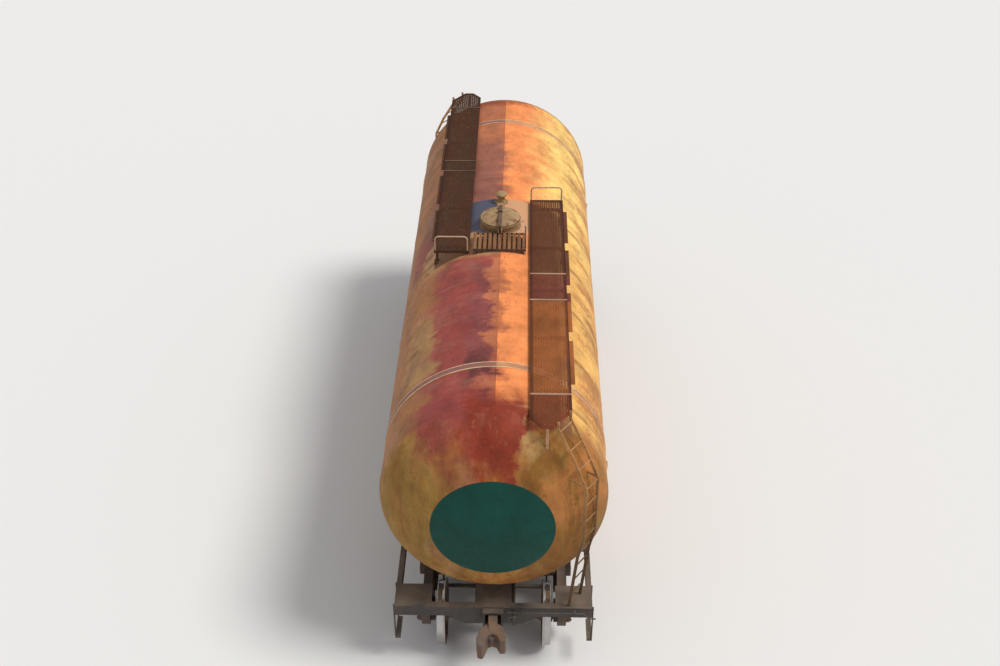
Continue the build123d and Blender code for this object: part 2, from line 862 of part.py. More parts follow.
# Tank: a straight barrel with two elliptical heads and the manhole's well.
tank_plane = Plane((0, 0, tank_axis_z), x_dir=(1, 0, 0), z_dir=(0, -1, 0))
tank_axis = Axis((0, 0, tank_axis_z), (1, 0, 0))
with BuildPart() as tank_barrel:
    with BuildSketch(tank_plane):
        with BuildLine():
            Polyline((tank_straight + head_depth, 0), (0, 0), (0, tank_r), (tank_straight, tank_r))
            EllipticalCenterArc((tank_straight, 0), head_depth, tank_r, 0, arc_size=90)
        make_face()
    revolve(axis=tank_axis)
    mirror(about=Plane.YZ)
    with BuildSketch(Plane((0, 0, tank_top_z - well_depth))):
        Circle(manhole_r)
    extrude(amount=well_depth + 10, mode=Mode.SUBTRACT)
save(tank_barrel, "tank_barrel")

neck_top_z = tank_top_z + neck_h
seat_cut_r = tank_r + seat_gap
cut_outline = [
    # along the tank, out from its axis
    (tank_straight + head_depth + seat_gap, 0),
    (0, 0),
    (0, seat_cut_r),
    (tank_straight, seat_cut_r),
]
with BuildPart() as manhole_neck:
    with BuildSketch(Plane((0, 0, tank_top_z - 100))):
        Circle(pad_r)
    extrude(amount=100 + pad_t)
    with BuildSketch(tank_plane):
        with Locations((0, tank_r / 2 + pad_t / 2)):
            Rectangle(4 * pad_r, tank_r + pad_t)
    revolve(axis=tank_axis, mode=Mode.INTERSECT)
    with BuildSketch(Plane((0, 0, tank_top_z - 40))):
        Circle(manhole_r + neck_wall)
    extrude(amount=40 + neck_h - 1)
    with BuildSketch(Plane((0, 0, neck_top_z - neck_flange_t))):
        Circle(neck_flange_r)
    extrude(amount=neck_flange_t)
    # Two lugs behind for the lid's pin, and two before for the eye bolt.
    for side in side_table:
        with BuildSketch(
            Plane((0, side * (lug_half + lug_t / 2), neck_top_z), x_dir=(1, 0, 0), z_dir=(0, -1, 0))
        ):
            with BuildLine():
                Polyline(
                    (-neck_flange_r + 60, -neck_flange_t),
                    (lid_pin_x - 24, -neck_flange_t),
                    (lid_pin_x - 24, 30),
                    (lid_pin_x + 24, 30),
                    (-neck_flange_r + 4, 0),
                    (-neck_flange_r + 60, 0),
                    close=True,
                )
            make_face()
        extrude(amount=lug_t / 2, both=True)
        with BuildSketch(
            Plane((0, side * (eye_r + 8 + lug_t / 2), neck_top_z), x_dir=(1, 0, 0), z_dir=(0, -1, 0))
        ):
            with BuildLine():
                Polyline(
                    (neck_flange_r - 40, 0),
                    (neck_flange_r - 40, -neck_flange_t),
                    (eye_x - 10, -neck_flange_t - 30),
                    (eye_x + 26, -neck_flange_t - 30),
                    (eye_x + 26, 0),
                    close=True,
                )
            make_face()
        extrude(amount=lug_t / 2, both=True)
    with BuildSketch(
        Plane((lid_pin_x, 0, neck_top_z + 14), x_dir=(1, 0, 0), z_dir=(0, -1, 0))
    ):
        Circle(lid_pin_r + pin_gap)
    extrude(amount=2 * lug_half, both=True, mode=Mode.SUBTRACT)
    with BuildSketch(Plane((0, 0, tank_top_z - 200))):
        Circle(manhole_r)
    extrude(amount=400, mode=Mode.SUBTRACT)
    with BuildSketch(tank_plane):
        with Locations((0, seat_cut_r / 2)):
            Rectangle(4 * pad_r, seat_cut_r)
    revolve(axis=tank_axis, mode=Mode.SUBTRACT)
save(manhole_neck, "manhole_neck")

lid_z = neck_top_z + lid_gap
dome_r = lid_r - lid_rim_w
dome_h = lid_rise - lid_rim_t
crown_r = (dome_r**2 + dome_h**2) / (2 * dome_h)


def dome_height(r):
    """Height of the lid's domed top over its seat, at the distance r from its centre."""
    return lid_rise - crown_r + sqrt(crown_r**2 - r**2)


with BuildPart() as hatch_lid:
    with BuildSketch(Plane((0, 0, lid_z), x_dir=(1, 0, 0), z_dir=(0, -1, 0))):
        with BuildLine():
            outer = ThreePointArc(
                (dome_r, lid_rim_t), (dome_r / 2, dome_height(dome_r / 2)), (0, lid_rise)
            )
            hollow_r = sqrt((crown_r - lid_wall) ** 2 - (crown_r - lid_rise) ** 2)
            inner = ThreePointArc(
                (0, lid_rise - lid_wall),
                (hollow_r / 2, lid_rise - crown_r + sqrt((crown_r - lid_wall) ** 2 - hollow_r**2 / 4)),
                (hollow_r, 0),
            )
            Line(outer @ 1, inner @ 0)
            Polyline(inner @ 1, (lid_r, 0), (lid_r, lid_rim_t), outer @ 0)
        make_face()
    revolve(axis=Axis((0, 0, 0), (0, 0, 1)))
    # Hinge arm with its knuckle and pin.
    with BuildSketch(
        Plane((0, 0, neck_top_z), x_dir=(1, 0, 0), z_dir=(0, -1, 0))
    ):
        with BuildLine():
            Polyline(
                (-lid_r + 10, lid_gap + 2),
                (-lid_r + 10, lid_rim_t + lid_gap),
                (-lid_r - 10, lid_rim_t + 12),
                (lid_pin_x, 14 + lid_pin_r + 9),
                (lid_pin_x, 14 - lid_pin_r),
                (-lid_r - 20, lid_gap + 2),
                close=True,
            )
        make_face()
        with Locations((lid_pin_x, 14)):
            Circle(lid_pin_r + 9)
    extrude(amount=lug_half - 5, both=True)
    with BuildSketch(
        Plane((lid_pin_x, 0, neck_top_z + 14), x_dir=(1, 0, 0), z_dir=(0, -1, 0))
    ):
        Circle(lid_pin_r)
    extrude(amount=lug_half + lug_t + 8, both=True)
save(hatch_lid, "hatch_lid")

with BuildPart() as hatch_clamp:
    with BuildSketch(Plane((0, 0, lid_z), x_dir=(1, 0, 0), z_dir=(0, -1, 0))):
        with BuildLine():
            Polyline(
                (-lid_r + 12, lid_rim_t),
                (-lid_r + 12, lid_rim_t + 40),
                (-dome_r + 110, lid_rise + bar_h),
                (dome_r - 110, lid_rise + bar_h),
                (eye_x + 30, lid_rim_t + 46),
                (eye_x + 30, lid_rim_t + 22),
                (dome_r - 60, lid_rise - 14),
                (dome_r - 130, lid_rise),
                (-dome_r + 130, lid_rise),
                (-dome_r, lid_rim_t + 22),
                (-dome_r, lid_rim_t),
                close=True,
            )
        make_face()
    extrude(amount=bar_w / 2, both=True)
    with BuildSketch(Plane((0, 0, lid_z + lid_rise))):
        Circle(clamp_boss_r)
    extrude(amount=bar_h + clamp_boss_h)
    with BuildSketch(Plane((eye_x, 0, neck_top_z - neck_flange_t - 24))):
        Circle(eye_r)
    extrude(amount=neck_flange_t + 24 + lid_rim_t + 60)
    with BuildSketch(Plane((eye_x, 0, lid_z + lid_rim_t + 44))):
        RegularPolygon(clamp_nut_r, 6)
    extrude(amount=clamp_nut_h)
save(hatch_clamp, "hatch_clamp")

with BuildPart() as safety_valve:
    with BuildSketch(Plane((valve_x, 0, tank_top_z), x_dir=(1, 0, 0), z_dir=(0, -1, 0))):
        with BuildLine():
            Polyline(
                (0, -40),
                (valve_flange_r, -40),
                (valve_flange_r, valve_flange_t),
                (valve_neck_r + 6, valve_flange_t),
                (valve_neck_r, valve_h - 76),
                (valve_bonnet_r, valve_h - 62),
                (valve_bonnet_r, valve_h - 38),
                (valve_bonnet_r - 46, valve_h - 6),
                (0, valve_h),
                close=True,
            )
        make_face()
    revolve(axis=Axis((valve_x, 0, 0), (0, 0, 1)))
    with BuildSketch(tank_plane):
        with Locations((valve_x, seat_cut_r / 2)):
            Rectangle(4 * valve_flange_r, seat_cut_r)
    revolve(axis=tank_axis, mode=Mode.SUBTRACT)
save(safety_valve, "safety_valve")

# Saddles on the bolster beams: timber under the tank on plate brackets.
with BuildPart() as tank_saddles:
    for end_name, sign, turn in ends:
        with BuildSketch(Plane((sign * pivot_x, 0, 0), x_dir=(0, 1, 0), z_dir=(1, 0, 0))):
            for side in side_table:
                inner_y = side * tank_r * sin(radians(saddle_in))
                outer_y = side * (tank_r + timber_t) * sin(radians(saddle_out))
                inner_z = tank_axis_z - (tank_r - 30) * cos(radians(saddle_in))
                outer_z = tank_axis_z - (tank_r - 30) * cos(radians(saddle_out))
                with BuildLine():
                    Polyline(
                        (inner_y, sill_top_z),
                        (outer_y, sill_top_z),
                        (outer_y, outer_z),
                        (inner_y, inner_z),
                        close=True,
                    )
                make_face()
        extrude(amount=saddle_x / 2, both=True)
        # Pockets leave the cradle plate, the end plates and a middle web.
        with BuildSketch(Plane((sign * pivot_x, 0, 0), x_dir=(0, 1, 0), z_dir=(1, 0, 0))):
            for side in side_table:
                pocket_r = tank_r + timber_t + saddle_plate_t
                low_y = side * (tank_r * sin(radians(saddle_in)) + 18)
                high_y = side * ((tank_r + timber_t) * sin(radians(saddle_out)) - 18)
                low_z = tank_axis_z - sqrt(pocket_r**2 - low_y**2)
                high_z = tank_axis_z - sqrt(pocket_r**2 - high_y**2)
                with BuildLine():
                    Polyline(
                        (low_y, max(low_z, sill_top_z + 30)),
                        (low_y, sill_top_z + 16),
                        (high_y, sill_top_z + 16),
                        (high_y, high_z),
                        close=True,
                    )
                make_face()
        extrude(amount=saddle_x / 2 - 16, both=True, mode=Mode.SUBTRACT)
    with BuildSketch(tank_plane):
        with Locations((0, seat_cut_r / 2)):
            Rectangle(2 * tank_straight, seat_cut_r)
    revolve(axis=tank_axis, mode=Mode.SUBTRACT)
save(tank_saddles, "tank_saddles")

with BuildPart() as tank_feet:
    for end_name, sign, turn in ends:
        for side in side_table:
            with BuildSketch(Plane((sign * foot_x, side * foot_y, sill_top_z))):
                Rectangle(foot_l, foot_w)
            extrude(amount=foot_base_t)
            with BuildSketch(Plane((sign * foot_x, side * foot_y, sill_top_z))):
                Rectangle(foot_l - 60, foot_web_t)
            extrude(amount=200)
    with BuildSketch(tank_plane):
        with Locations((0, seat_cut_r / 2)):
            Rectangle(2 * tank_straight, seat_cut_r)
    revolve(axis=tank_axis, mode=Mode.SUBTRACT)
save(tank_feet, "tank_feet")

rod_start_r = tank_r + seat_gap + strap_t + rod_r + 8
low_angle = radians(strap_low)
with BuildPart() as tank_straps:
    for end_name, sign, turn in ends:
        strap_plane = Plane((sign * pivot_x, 0, tank_axis_z), x_dir=(0, 1, 0), z_dir=(1, 0, 0))
        with BuildSketch(strap_plane):
            Circle(seat_cut_r + strap_t)
            Circle(seat_cut_r, mode=Mode.SUBTRACT)
            with BuildLine():
                wide = 2 * tank_r
                drop = wide * tan(low_angle)
                Polyline((-wide, -drop), (0, 0), (wide, -drop), (0, -2 * wide), close=True)
            make_face(mode=Mode.SUBTRACT)
        extrude(amount=strap_w / 2, both=True)
        for side in side_table:
            start = (side * rod_start_r * cos(low_angle), tank_axis_z - rod_start_r * sin(low_angle))
            down = (-side * sin(low_angle), -cos(low_angle))
            rod_l = (start[1] - sill_top_z) / cos(low_angle)
            lug_plane = Plane(
                (sign * pivot_x, start[0] - 12 * down[0], start[1] - 12 * down[1]),
                x_dir=(1, 0, 0),
                z_dir=(0, down[0], down[1]),
            )
            with BuildSketch(lug_plane):
                Rectangle(strap_w, 2 * (rod_r + 8 + strap_t / 2))
            extrude(amount=-90)
            with BuildSketch(lug_plane):
                Circle(rod_r)
            extrude(amount=rod_l + 12)
    with BuildSketch(tank_plane):
        with Locations((0, seat_cut_r / 2)):
            Rectangle(2 * tank_straight, seat_cut_r)
    revolve(axis=tank_axis, mode=Mode.SUBTRACT)
    with BuildSketch(Plane((0, 0, sill_top_z - 60))):
        Rectangle(3 * pivot_x, 4 * tank_r)
    extrude(amount=60, mode=Mode.SUBTRACT)
save(tank_straps, "tank_straps")

# Walkways along the top: an angle frame with open mesh, on brackets welded to the barrel.
deck_z = barrel_height(deck_in_y) + deck_lift
deck_outline = [
    # along the car, across it
    (deck_start, deck_in_y),
    (deck_in_corner, deck_in_y),
    (deck_tip, deck_tip_in),
    (deck_tip, deck_tip_out),
    (deck_out_corner, deck_out_y),
    (deck_start, deck_out_y),
]
mesh_rise = (deck_out_y - deck_in_y - 2 * deck_angle) / mesh_rows
cell_half_l = mesh_pitch / 2 - mesh_strand
cell_half_w = mesh_rise / 2 - mesh_strand / 2
cells = []
for row in range(mesh_rows * 2 - 1):
    cell_y = deck_in_y + deck_angle + (row + 1) * mesh_rise / 2
    cell_x = deck_start + deck_angle + (mesh_pitch if row % 2 else mesh_pitch / 2)
    while cell_x + cell_half_l < deck_out_corner - deck_angle:
        cells.append((cell_x, cell_y))
        cell_x += mesh_pitch
toe_places = [bracket_first + k * bracket_pitch for k in range(bracket_count - 1)]
walkway_table = [
    # name, turn about Z, places of the cross bars before the turn
    ("right", 0, [1510.0, 2240.0, 4540.0]),
    ("left", 180, [1880.0, 2270.0, 4540.0]),
]
for side_name, turn, bar_places in walkway_table:
    with BuildPart() as walkway:
        # The mesh is a sheet with staggered diamond openings.
        with BuildSketch(Plane.XY.offset(deck_z - deck_t)):
            with BuildLine():
                Polyline(*deck_outline, close=True)
            make_face()
            with Locations(*cells):
                Polygon(
                    (cell_half_l, 0),
                    (0, cell_half_w),
                    (-cell_half_l, 0),
                    (0, -cell_half_w),
                    align=None,
                    mode=Mode.SUBTRACT,
                )
        extrude(amount=deck_t)
        with BuildSketch(Plane.XY.offset(deck_z - deck_angle)):
            with BuildLine():
                Polyline(*deck_outline, close=True)
            rim = make_face()
            offset(rim, -deck_angle_t, mode=Mode.SUBTRACT)
        extrude(amount=deck_angle - deck_t)
        # Edge strips that reach out beyond the frame, one between each two brackets.
        with BuildSketch(Plane.XY.offset(deck_z - deck_angle + 4)):
            with Locations(*[(x + bracket_pitch / 2, deck_out_y + toe_w / 2) for x in toe_places]):
                Rectangle(toe_l, toe_w)
        extrude(amount=toe_t)
        with BuildSketch(Plane.XY.offset(deck_z - deck_t)):
            with Locations(*[(x, (deck_in_y + deck_out_y) / 2) for x in bar_places]):
                Rectangle(deck_bar_w, deck_out_y - deck_in_y)
        extrude(amount=deck_t + deck_bar_t)
        add(walkway.part.rotate(Axis.Z, turn), mode=Mode.REPLACE)
    save(walkway, f"walkway_{side_name}")

# Brackets under the walkways: a cross angle, an outer leg and a slanting brace on each.
leg_y = deck_out_y - 30
leg_t = 8.0
flange_w = 46.0
low_deck_z = deck_z - deck_angle
bracket_places = [bracket_first + k * bracket_pitch for k in range(bracket_count)]
with BuildPart() as walkway_brackets:
    for bracket_x in bracket_places:
        for side in side_table:
            with BuildSketch(Plane((side * bracket_x, 0, 0), x_dir=(0, side, 0), z_dir=(side, 0, 0))):
                with BuildLine():
                    Polyline(
                        (deck_in_y, low_deck_z),
                        (deck_out_y, low_deck_z),
                        (deck_out_y, low_deck_z - flange_w),
                        (leg_y + 20, low_deck_z - flange_w - 14),
                        (leg_y + 20, barrel_height(leg_y + 20) - 30),
                        (leg_y - 26, barrel_height(leg_y - 26) - 30),
                        (leg_y - 26, low_deck_z - flange_w - 40),
                        (leg_y - 66, low_deck_z - flange_w),
                        (deck_in_y + 110, low_deck_z - flange_w),
                        (deck_in_y + 90, barrel_height(deck_in_y + 90) - 20),
                        (deck_in_y, barrel_height(deck_in_y) - 20),
                        close=True,
                    )
                make_face()
            extrude(amount=leg_t / 2, both=True)
            with BuildSketch(Plane((side * bracket_x, side * (deck_in_y + deck_out_y) / 2, low_deck_z))):
                Rectangle(flange_w, deck_out_y - deck_in_y)
            extrude(amount=-6)
            with BuildSketch(Plane((side * bracket_x, side * leg_y, barrel_height(leg_y) - 100))):
                Rectangle(120, 90)
            extrude(amount=100 + 20)
            with BuildSketch(Plane((side * bracket_x, side * leg_y, barrel_height(leg_y - 45) + 8))):
                Rectangle(140, 110)
            extrude(amount=60, mode=Mode.SUBTRACT)
    # A stay from the tip of each walkway down to the head of the tank.
    for side in side_table:
        stay_x = deck_tip - stay_inset
        stay_y = (deck_tip_in + deck_tip_out) / 2
        with BuildSketch(Plane((side * stay_x, side * stay_y, low_deck_z))):
            Rectangle(stay_t, stay_w)
        extrude(amount=-hoop_h * 2)
        with BuildSketch(Plane((side * (stay_x - stay_w / 2), side * stay_y, low_deck_z))):
            Rectangle(stay_w, stay_w)
        extrude(amount=-stay_t)
    with BuildSketch(tank_plane):
        with BuildLine():
            Polyline(*cut_outline)
            EllipticalCenterArc((tank_straight, 0), head_depth + seat_gap, seat_cut_r, 0, arc_size=90)
        make_face()
        mirror(about=Plane.YZ)
    revolve(axis=tank_axis, mode=Mode.SUBTRACT)
save(walkway_brackets, "walkway_brackets")

# Low hoops at the inner ends of the walkways.
with BuildPart() as end_hoops:
    for side in side_table:
        hoop_plane = Plane(
            (side * (deck_start + 20), 0, deck_z), x_dir=(0, side, 0), z_dir=(side, 0, 0)
        )
        with BuildLine(hoop_plane):
            hoop_path = FilletPolyline(
                (deck_in_y + 22, 0),
                (deck_in_y + 22, hoop_h),
                (deck_out_y - 22, hoop_h),
                (deck_out_y - 22, 0),
                radius=60,
            )
        with BuildSketch(Plane(hoop_path @ 0, z_dir=hoop_path % 0)):
            Circle(hoop_r)
        sweep(path=hoop_path)
save(end_hoops, "end_hoops")

# Slatted platform before the hatch, level across the top of the barrel.
step_low_z = tank_top_z + step_lift
slat_pitch = (2 * step_half - 2 * step_frame_t - slat_w) / (slat_count - 1)
with BuildPart() as hatch_platform:
    with BuildSketch(Plane(((step_x0 + step_x1) / 2, 0, step_low_z))):
        Rectangle(step_x1 - step_x0, 2 * step_half)
        Rectangle(step_x1 - step_x0 - 2 * step_frame_t, 2 * step_half - 2 * step_frame_t, mode=Mode.SUBTRACT)
    extrude(amount=step_frame_h)
    with BuildSketch(Plane(((step_x0 + step_x1) / 2, 0, step_low_z + step_frame_h - slat_t))):
        with GridLocations(0, slat_pitch, 1, slat_count):
            Rectangle(step_x1 - step_x0, slat_w)
    extrude(amount=slat_t)
    with BuildSketch(Plane(((step_x0 + step_x1) / 2, 0, step_low_z + step_frame_h - slat_t - 20))):
        with GridLocations((step_x1 - step_x0) / 3, 0, 2, 1):
            Rectangle(6, 2 * step_half)
    extrude(amount=20)
    # Feet down to the barrel under the four corners.
    foot_in = step_half - 30
    with BuildSketch(Plane(((step_x0 + step_x1) / 2, 0, barrel_height(step_half) - 20))):
        with GridLocations(step_x1 - step_x0 - 40, 2 * foot_in, 2, 2):
            Rectangle(40, 8)
    extrude(amount=step_low_z + step_frame_h - slat_t - barrel_height(step_half) + 20)
    with BuildSketch(tank_plane):
        with Locations((0, seat_cut_r / 2)):
            Rectangle(2 * tank_straight, seat_cut_r)
    revolve(axis=tank_axis, mode=Mode.SUBTRACT)
    # Grab bar at the right-hand end.
    grab_plane = Plane((0, step_half - grab_r, step_low_z + step_frame_h), x_dir=(1, 0, 0), z_dir=(0, -1, 0))
    with BuildLine(grab_plane):
        grab_path = FilletPolyline(
            (step_x0 + grab_inset, -slat_t),
            (step_x0 + grab_inset, grab_h),
            (step_x1 - grab_inset, grab_h),
            (step_x1 - grab_inset, -slat_t),
            radius=50,
        )
    with BuildSketch(Plane(grab_path @ 0, z_dir=grab_path % 0)):
        Circle(grab_r)
    sweep(path=grab_path)
save(hatch_platform, "hatch_platform")

# Ladders from the walkways' outer ends down over the heads' shoulders to the frame.
corner_l = hypot(deck_tip - deck_out_corner, deck_out_y - deck_tip_out)
out_x = (deck_out_y - deck_tip_out) / corner_l
out_y = (deck_tip - deck_out_corner) / corner_l
bends = [(stringer_w / 2, deck_z + 20)]
bends += [(out, rail_z + up) for out, up in ladder_bends]
landing_z = sill_top_z + landing_t
bends += [(ladder_foot_out, landing_z - 40)]
for side_name, turn, bar_places in walkway_table:
    ladder_plane = Plane(
        ((deck_tip + deck_out_corner) / 2, (deck_tip_out + deck_out_y) / 2, 0),
        x_dir=(out_x, out_y, 0),
        z_dir=(out_y, -out_x, 0),
    )
    with BuildPart() as ladder:
        for stringer_side in (-1, 1):
            edge_plane = ladder_plane.offset(stringer_side * ladder_w / 2)
            with BuildSketch(edge_plane):
                with BuildLine():
                    FilletPolyline(*bends, radius=60)
                    offset(amount=stringer_w / 2, side=Side.BOTH)
                make_face()
            extrude(amount=stringer_t / 2, both=True)
        lengths = [0.0]
        for (out_a, up_a), (out_b, up_b) in zip(bends, bends[1:]):
            lengths.append(lengths[-1] + hypot(out_b - out_a, up_b - up_a))
        rung_count = int(lengths[-1] / rung_pitch)
        rung_places = []
        for k in range(rung_count):
            along = (k + 0.5) * rung_pitch
            leg = max(i for i in range(len(bends) - 1) if lengths[i] <= along)
            share = (along - lengths[leg]) / (lengths[leg + 1] - lengths[leg])
            out_a, up_a = bends[leg]
            out_b, up_b = bends[leg + 1]
            rung_places.append((out_a + share * (out_b - out_a), up_a + share * (up_b - up_a)))
        with BuildSketch(ladder_plane):
            with Locations(*rung_places):
                Circle(rung_r)
        extrude(amount=ladder_w / 2, both=True)
        # A stay from each stringer to the head of the tank.
        stay_out = max(out for out, up in bends)
        for stringer_side in (-1, 1):
            with BuildSketch(ladder_plane.offset(stringer_side * (ladder_w - stringer_t) / 2)):
                with Locations((stay_out - ladder_stay_l / 2, ladder_stay_z)):
                    Rectangle(ladder_stay_l, stay_w)
            extrude(amount=-stringer_side * stay_t)
        with BuildSketch(tank_plane):
            with BuildLine():
                Polyline(*cut_outline)
                EllipticalCenterArc((tank_straight, 0), head_depth + seat_gap, seat_cut_r, 0, arc_size=90)
            make_face()
        revolve(axis=tank_axis, mode=Mode.SUBTRACT)
        with BuildSketch(Plane((deck_tip, deck_out_y, landing_z))):
            Rectangle(4 * ladder_w, 4 * ladder_w)
        extrude(amount=-100, mode=Mode.SUBTRACT)
        if turn:
            add(ladder.part.rotate(Axis.Z, turn), mode=Mode.REPLACE)
    save(ladder, f"ladder_{side_name}")

# Landings at the frame's corners, where the ladders stand, with a stirrup step below each.
landing_x1 = frame_half_l
stirrup_z = rail_z + stirrup_up
with BuildPart() as corner_steps:
    for end_name, sign, turn in ends:
        for side in side_table:
            with BuildSketch(
                Plane(
                    (
                        sign * (landing_x0 + landing_x1) / 2,
                        side * (landing_in_y + frame_half_w) / 2,
                        sill_top_z,
                    )
                )
            ):
                Rectangle(landing_x1 - landing_x0, frame_half_w - landing_in_y)
            extrude(amount=landing_t)
            step_plane = Plane(
                (sign * (frame_half_l - 60 - stirrup_l / 2), side * (frame_half_w + hoop_r), 0),
                x_dir=(1, 0, 0),
                z_dir=(0, -1, 0),
            )
            with BuildLine(step_plane):
                stirrup = FilletPolyline(
                    (-stirrup_l / 2, sill_top_z - 30),
                    (-stirrup_l / 2, stirrup_z),
                    (stirrup_l / 2, stirrup_z),
                    (stirrup_l / 2, sill_top_z - 30),
                    radius=40,
                )
            with BuildSketch(Plane(stirrup @ 0, z_dir=stirrup % 0)):
                Circle(hoop_r)
            sweep(path=stirrup)
            with BuildSketch(
                Plane(
                    (
                        sign * (frame_half_l - 60 - stirrup_l / 2),
                        side * (frame_half_w + 2 * hoop_r - tread_w / 2),
                        stirrup_z,
                    )
                )
            ):
                Rectangle(stirrup_l, tread_w)
            extrude(amount=tread_t)
save(corner_steps, "corner_steps")

# Bottom outlet: a pipe and gate housing under the tank, closed by a hinged cap.
tank_low_z = tank_axis_z - tank_r
outlet_end_z = rail_z + outlet_low_z
with BuildPart() as bottom_outlet:
    with BuildSketch(Plane((0, 0, outlet_end_z))):
        Circle(outlet_r + outlet_wall)
    extrude(amount=tank_low_z - outlet_end_z + 20)
    with BuildSketch(Plane((0, 0, sill_z - 40))):
        Circle(outlet_gate_r - 8)
    extrude(amount=190)
    with BuildSketch(Plane((0, 0, tank_low_z - 24))):
        Circle(outlet_gate_r)
    extrude(amount=44)
    with BuildSketch(Plane((0, 0, outlet_end_z))):
        Circle(cap_r - 6)
    extrude(amount=18)
    with BuildSketch(Plane((0, 0, outlet_end_z - 1))):
        Circle(outlet_r)
    extrude(amount=160, mode=Mode.SUBTRACT)
    # Lugs for the cap's hinge.
    for side in side_table:
        with BuildSketch(
            Plane((-cap_r, side * 32, outlet_end_z), x_dir=(1, 0, 0), z_dir=(0, -1, 0))
        ):
            with BuildLine():
                Polyline((30, 0), (-12, 0), (-12, -34), (-70, -34), (-70, 18), (30, 18), close=True)
            make_face()
        extrude(amount=6, both=True)
    with BuildSketch(Plane((-cap_r - 40, 0, outlet_end_z - 14), x_dir=(1, 0, 0), z_dir=(0, -1, 0))):
        Circle(8 + pin_gap)
    extrude(amount=60, both=True, mode=Mode.SUBTRACT)
    with BuildSketch(tank_plane):
        with Locations((0, seat_cut_r / 2)):
            Rectangle(2 * tank_straight, seat_cut_r)
    revolve(axis=tank_axis, mode=Mode.SUBTRACT)
save(bottom_outlet, "bottom_outlet")

with BuildPart() as outlet_cap:
    with BuildSketch(Plane((0, 0, outlet_end_z - 0.3))):
        Circle(cap_r)
    extrude(amount=-cap_t)
    with BuildSketch(Plane((-cap_r / 2 - 20, 0, outlet_end_z - cap_t / 2))):
        Rectangle(cap_r + 40, 40)
    extrude(amount=10, both=True)
    with BuildSketch(Plane((-cap_r - 40, 0, outlet_end_z - 14), x_dir=(1, 0, 0), z_dir=(0, -1, 0))):
        Circle(18)
    extrude(amount=20, both=True)
    with BuildSketch(Plane((-cap_r - 40, 0, outlet_end_z - 14), x_dir=(1, 0, 0), z_dir=(0, -1, 0))):
        Circle(8)
    extrude(amount=46, both=True)
save(outlet_cap, "outlet_cap")

# Brake gear on the frame: cylinder, reservoir, pipe, rods and the parking brake's hand wheel.
cyl_x, cyl_y, cyl_z = cylinder_at
with BuildPart() as brake_cylinder:
    with BuildSketch(Plane((cyl_x, cyl_y, rail_z + cyl_z), x_dir=(0, 1, 0), z_dir=(1, 0, 0))):
        Circle(cylinder_r)
    extrude(amount=cylinder_l / 2, both=True)
    with BuildSketch(
        Plane((cyl_x + cylinder_l / 2, cyl_y, rail_z + cyl_z), x_dir=(0, 1, 0), z_dir=(1, 0, 0))
    ):
        Circle(cylinder_r + cylinder_rim)
    extrude(amount=cylinder_lid_t)
    with BuildSketch(
        Plane((cyl_x - cylinder_l / 2, cyl_y, rail_z + cyl_z), x_dir=(0, 1, 0), z_dir=(1, 0, 0))
    ):
        Circle(piston_r)
    extrude(amount=-piston_l)
    with BuildSketch(Plane((cyl_x, (web_out_y + cyl_y) / 2, rail_z + cyl_z + 120))):
        Rectangle(cylinder_foot_l, cyl_y - web_out_y)
    extrude(amount=cylinder_foot_t)
save(brake_cylinder, "brake_cylinder")

tank_x, tank_y, tank_h = reservoir_at
with BuildPart() as air_reservoir:
    with BuildSketch(Plane((tank_x, tank_y, rail_z + tank_h), x_dir=(1, 0, 0), z_dir=(0, -1, 0))):
        with BuildLine():
            half = reservoir_l / 2
            Polyline((half, 0), (0, 0), (0, reservoir_r), (half - reservoir_head, reservoir_r))
            EllipticalCenterArc((half - reservoir_head, 0), reservoir_head, reservoir_r, 0, arc_size=90)
        make_face()
    revolve(axis=Axis((0, tank_y, rail_z + tank_h), (1, 0, 0)))
    mirror(about=Plane.YZ.offset(tank_x))
    for strap_at in (reservoir_band_in - half, half - reservoir_band_in):
        with BuildSketch(
            Plane((tank_x + strap_at, tank_y, rail_z + tank_h), x_dir=(0, 1, 0), z_dir=(1, 0, 0))
        ):
            Circle(reservoir_r + 6)
            with Locations((0, 90)):
                Rectangle(2 * (-tank_y - web_out_y), 20)
        extrude(amount=reservoir_band_w / 2, both=True)
save(air_reservoir, "air_reservoir")

pipe_end_x = frame_half_l + 60
with BuildPart() as brake_pipe:
    with BuildSketch(Plane((0, pipe_y, rail_z + pipe_z), x_dir=(0, 1, 0), z_dir=(1, 0, 0))):
        Circle(pipe_r)
    extrude(amount=pipe_end_x, both=True)
    # Angle cocks at both ends, and brackets off the sill.
    for end_name, sign, turn in ends:
        with BuildSketch(
            Plane((sign * (pipe_end_x - 10), pipe_y, rail_z + pipe_z), x_dir=(0, 1, 0), z_dir=(sign, 0, 0))
        ):
            Circle(36)
        extrude(amount=90)
        with BuildSketch(Plane((sign * (pipe_end_x + 40), pipe_y, rail_z + pipe_z))):
            Circle(24)
        extrude(amount=-95)
        with BuildSketch(Plane((sign * (pipe_end_x + 40), pipe_y, rail_z + pipe_z))):
            Rectangle(24, 130)
        extrude(amount=44)
    for bracket_at in (-4700, -2600, -700, 700, 2600, 4700):
        with BuildSketch(Plane((bracket_at, (web_out_y + pipe_y) / 2, rail_z + pipe_z - 10))):
            Rectangle(40, pipe_y - web_out_y)
        extrude(amount=8)
save(brake_pipe, "brake_pipe")

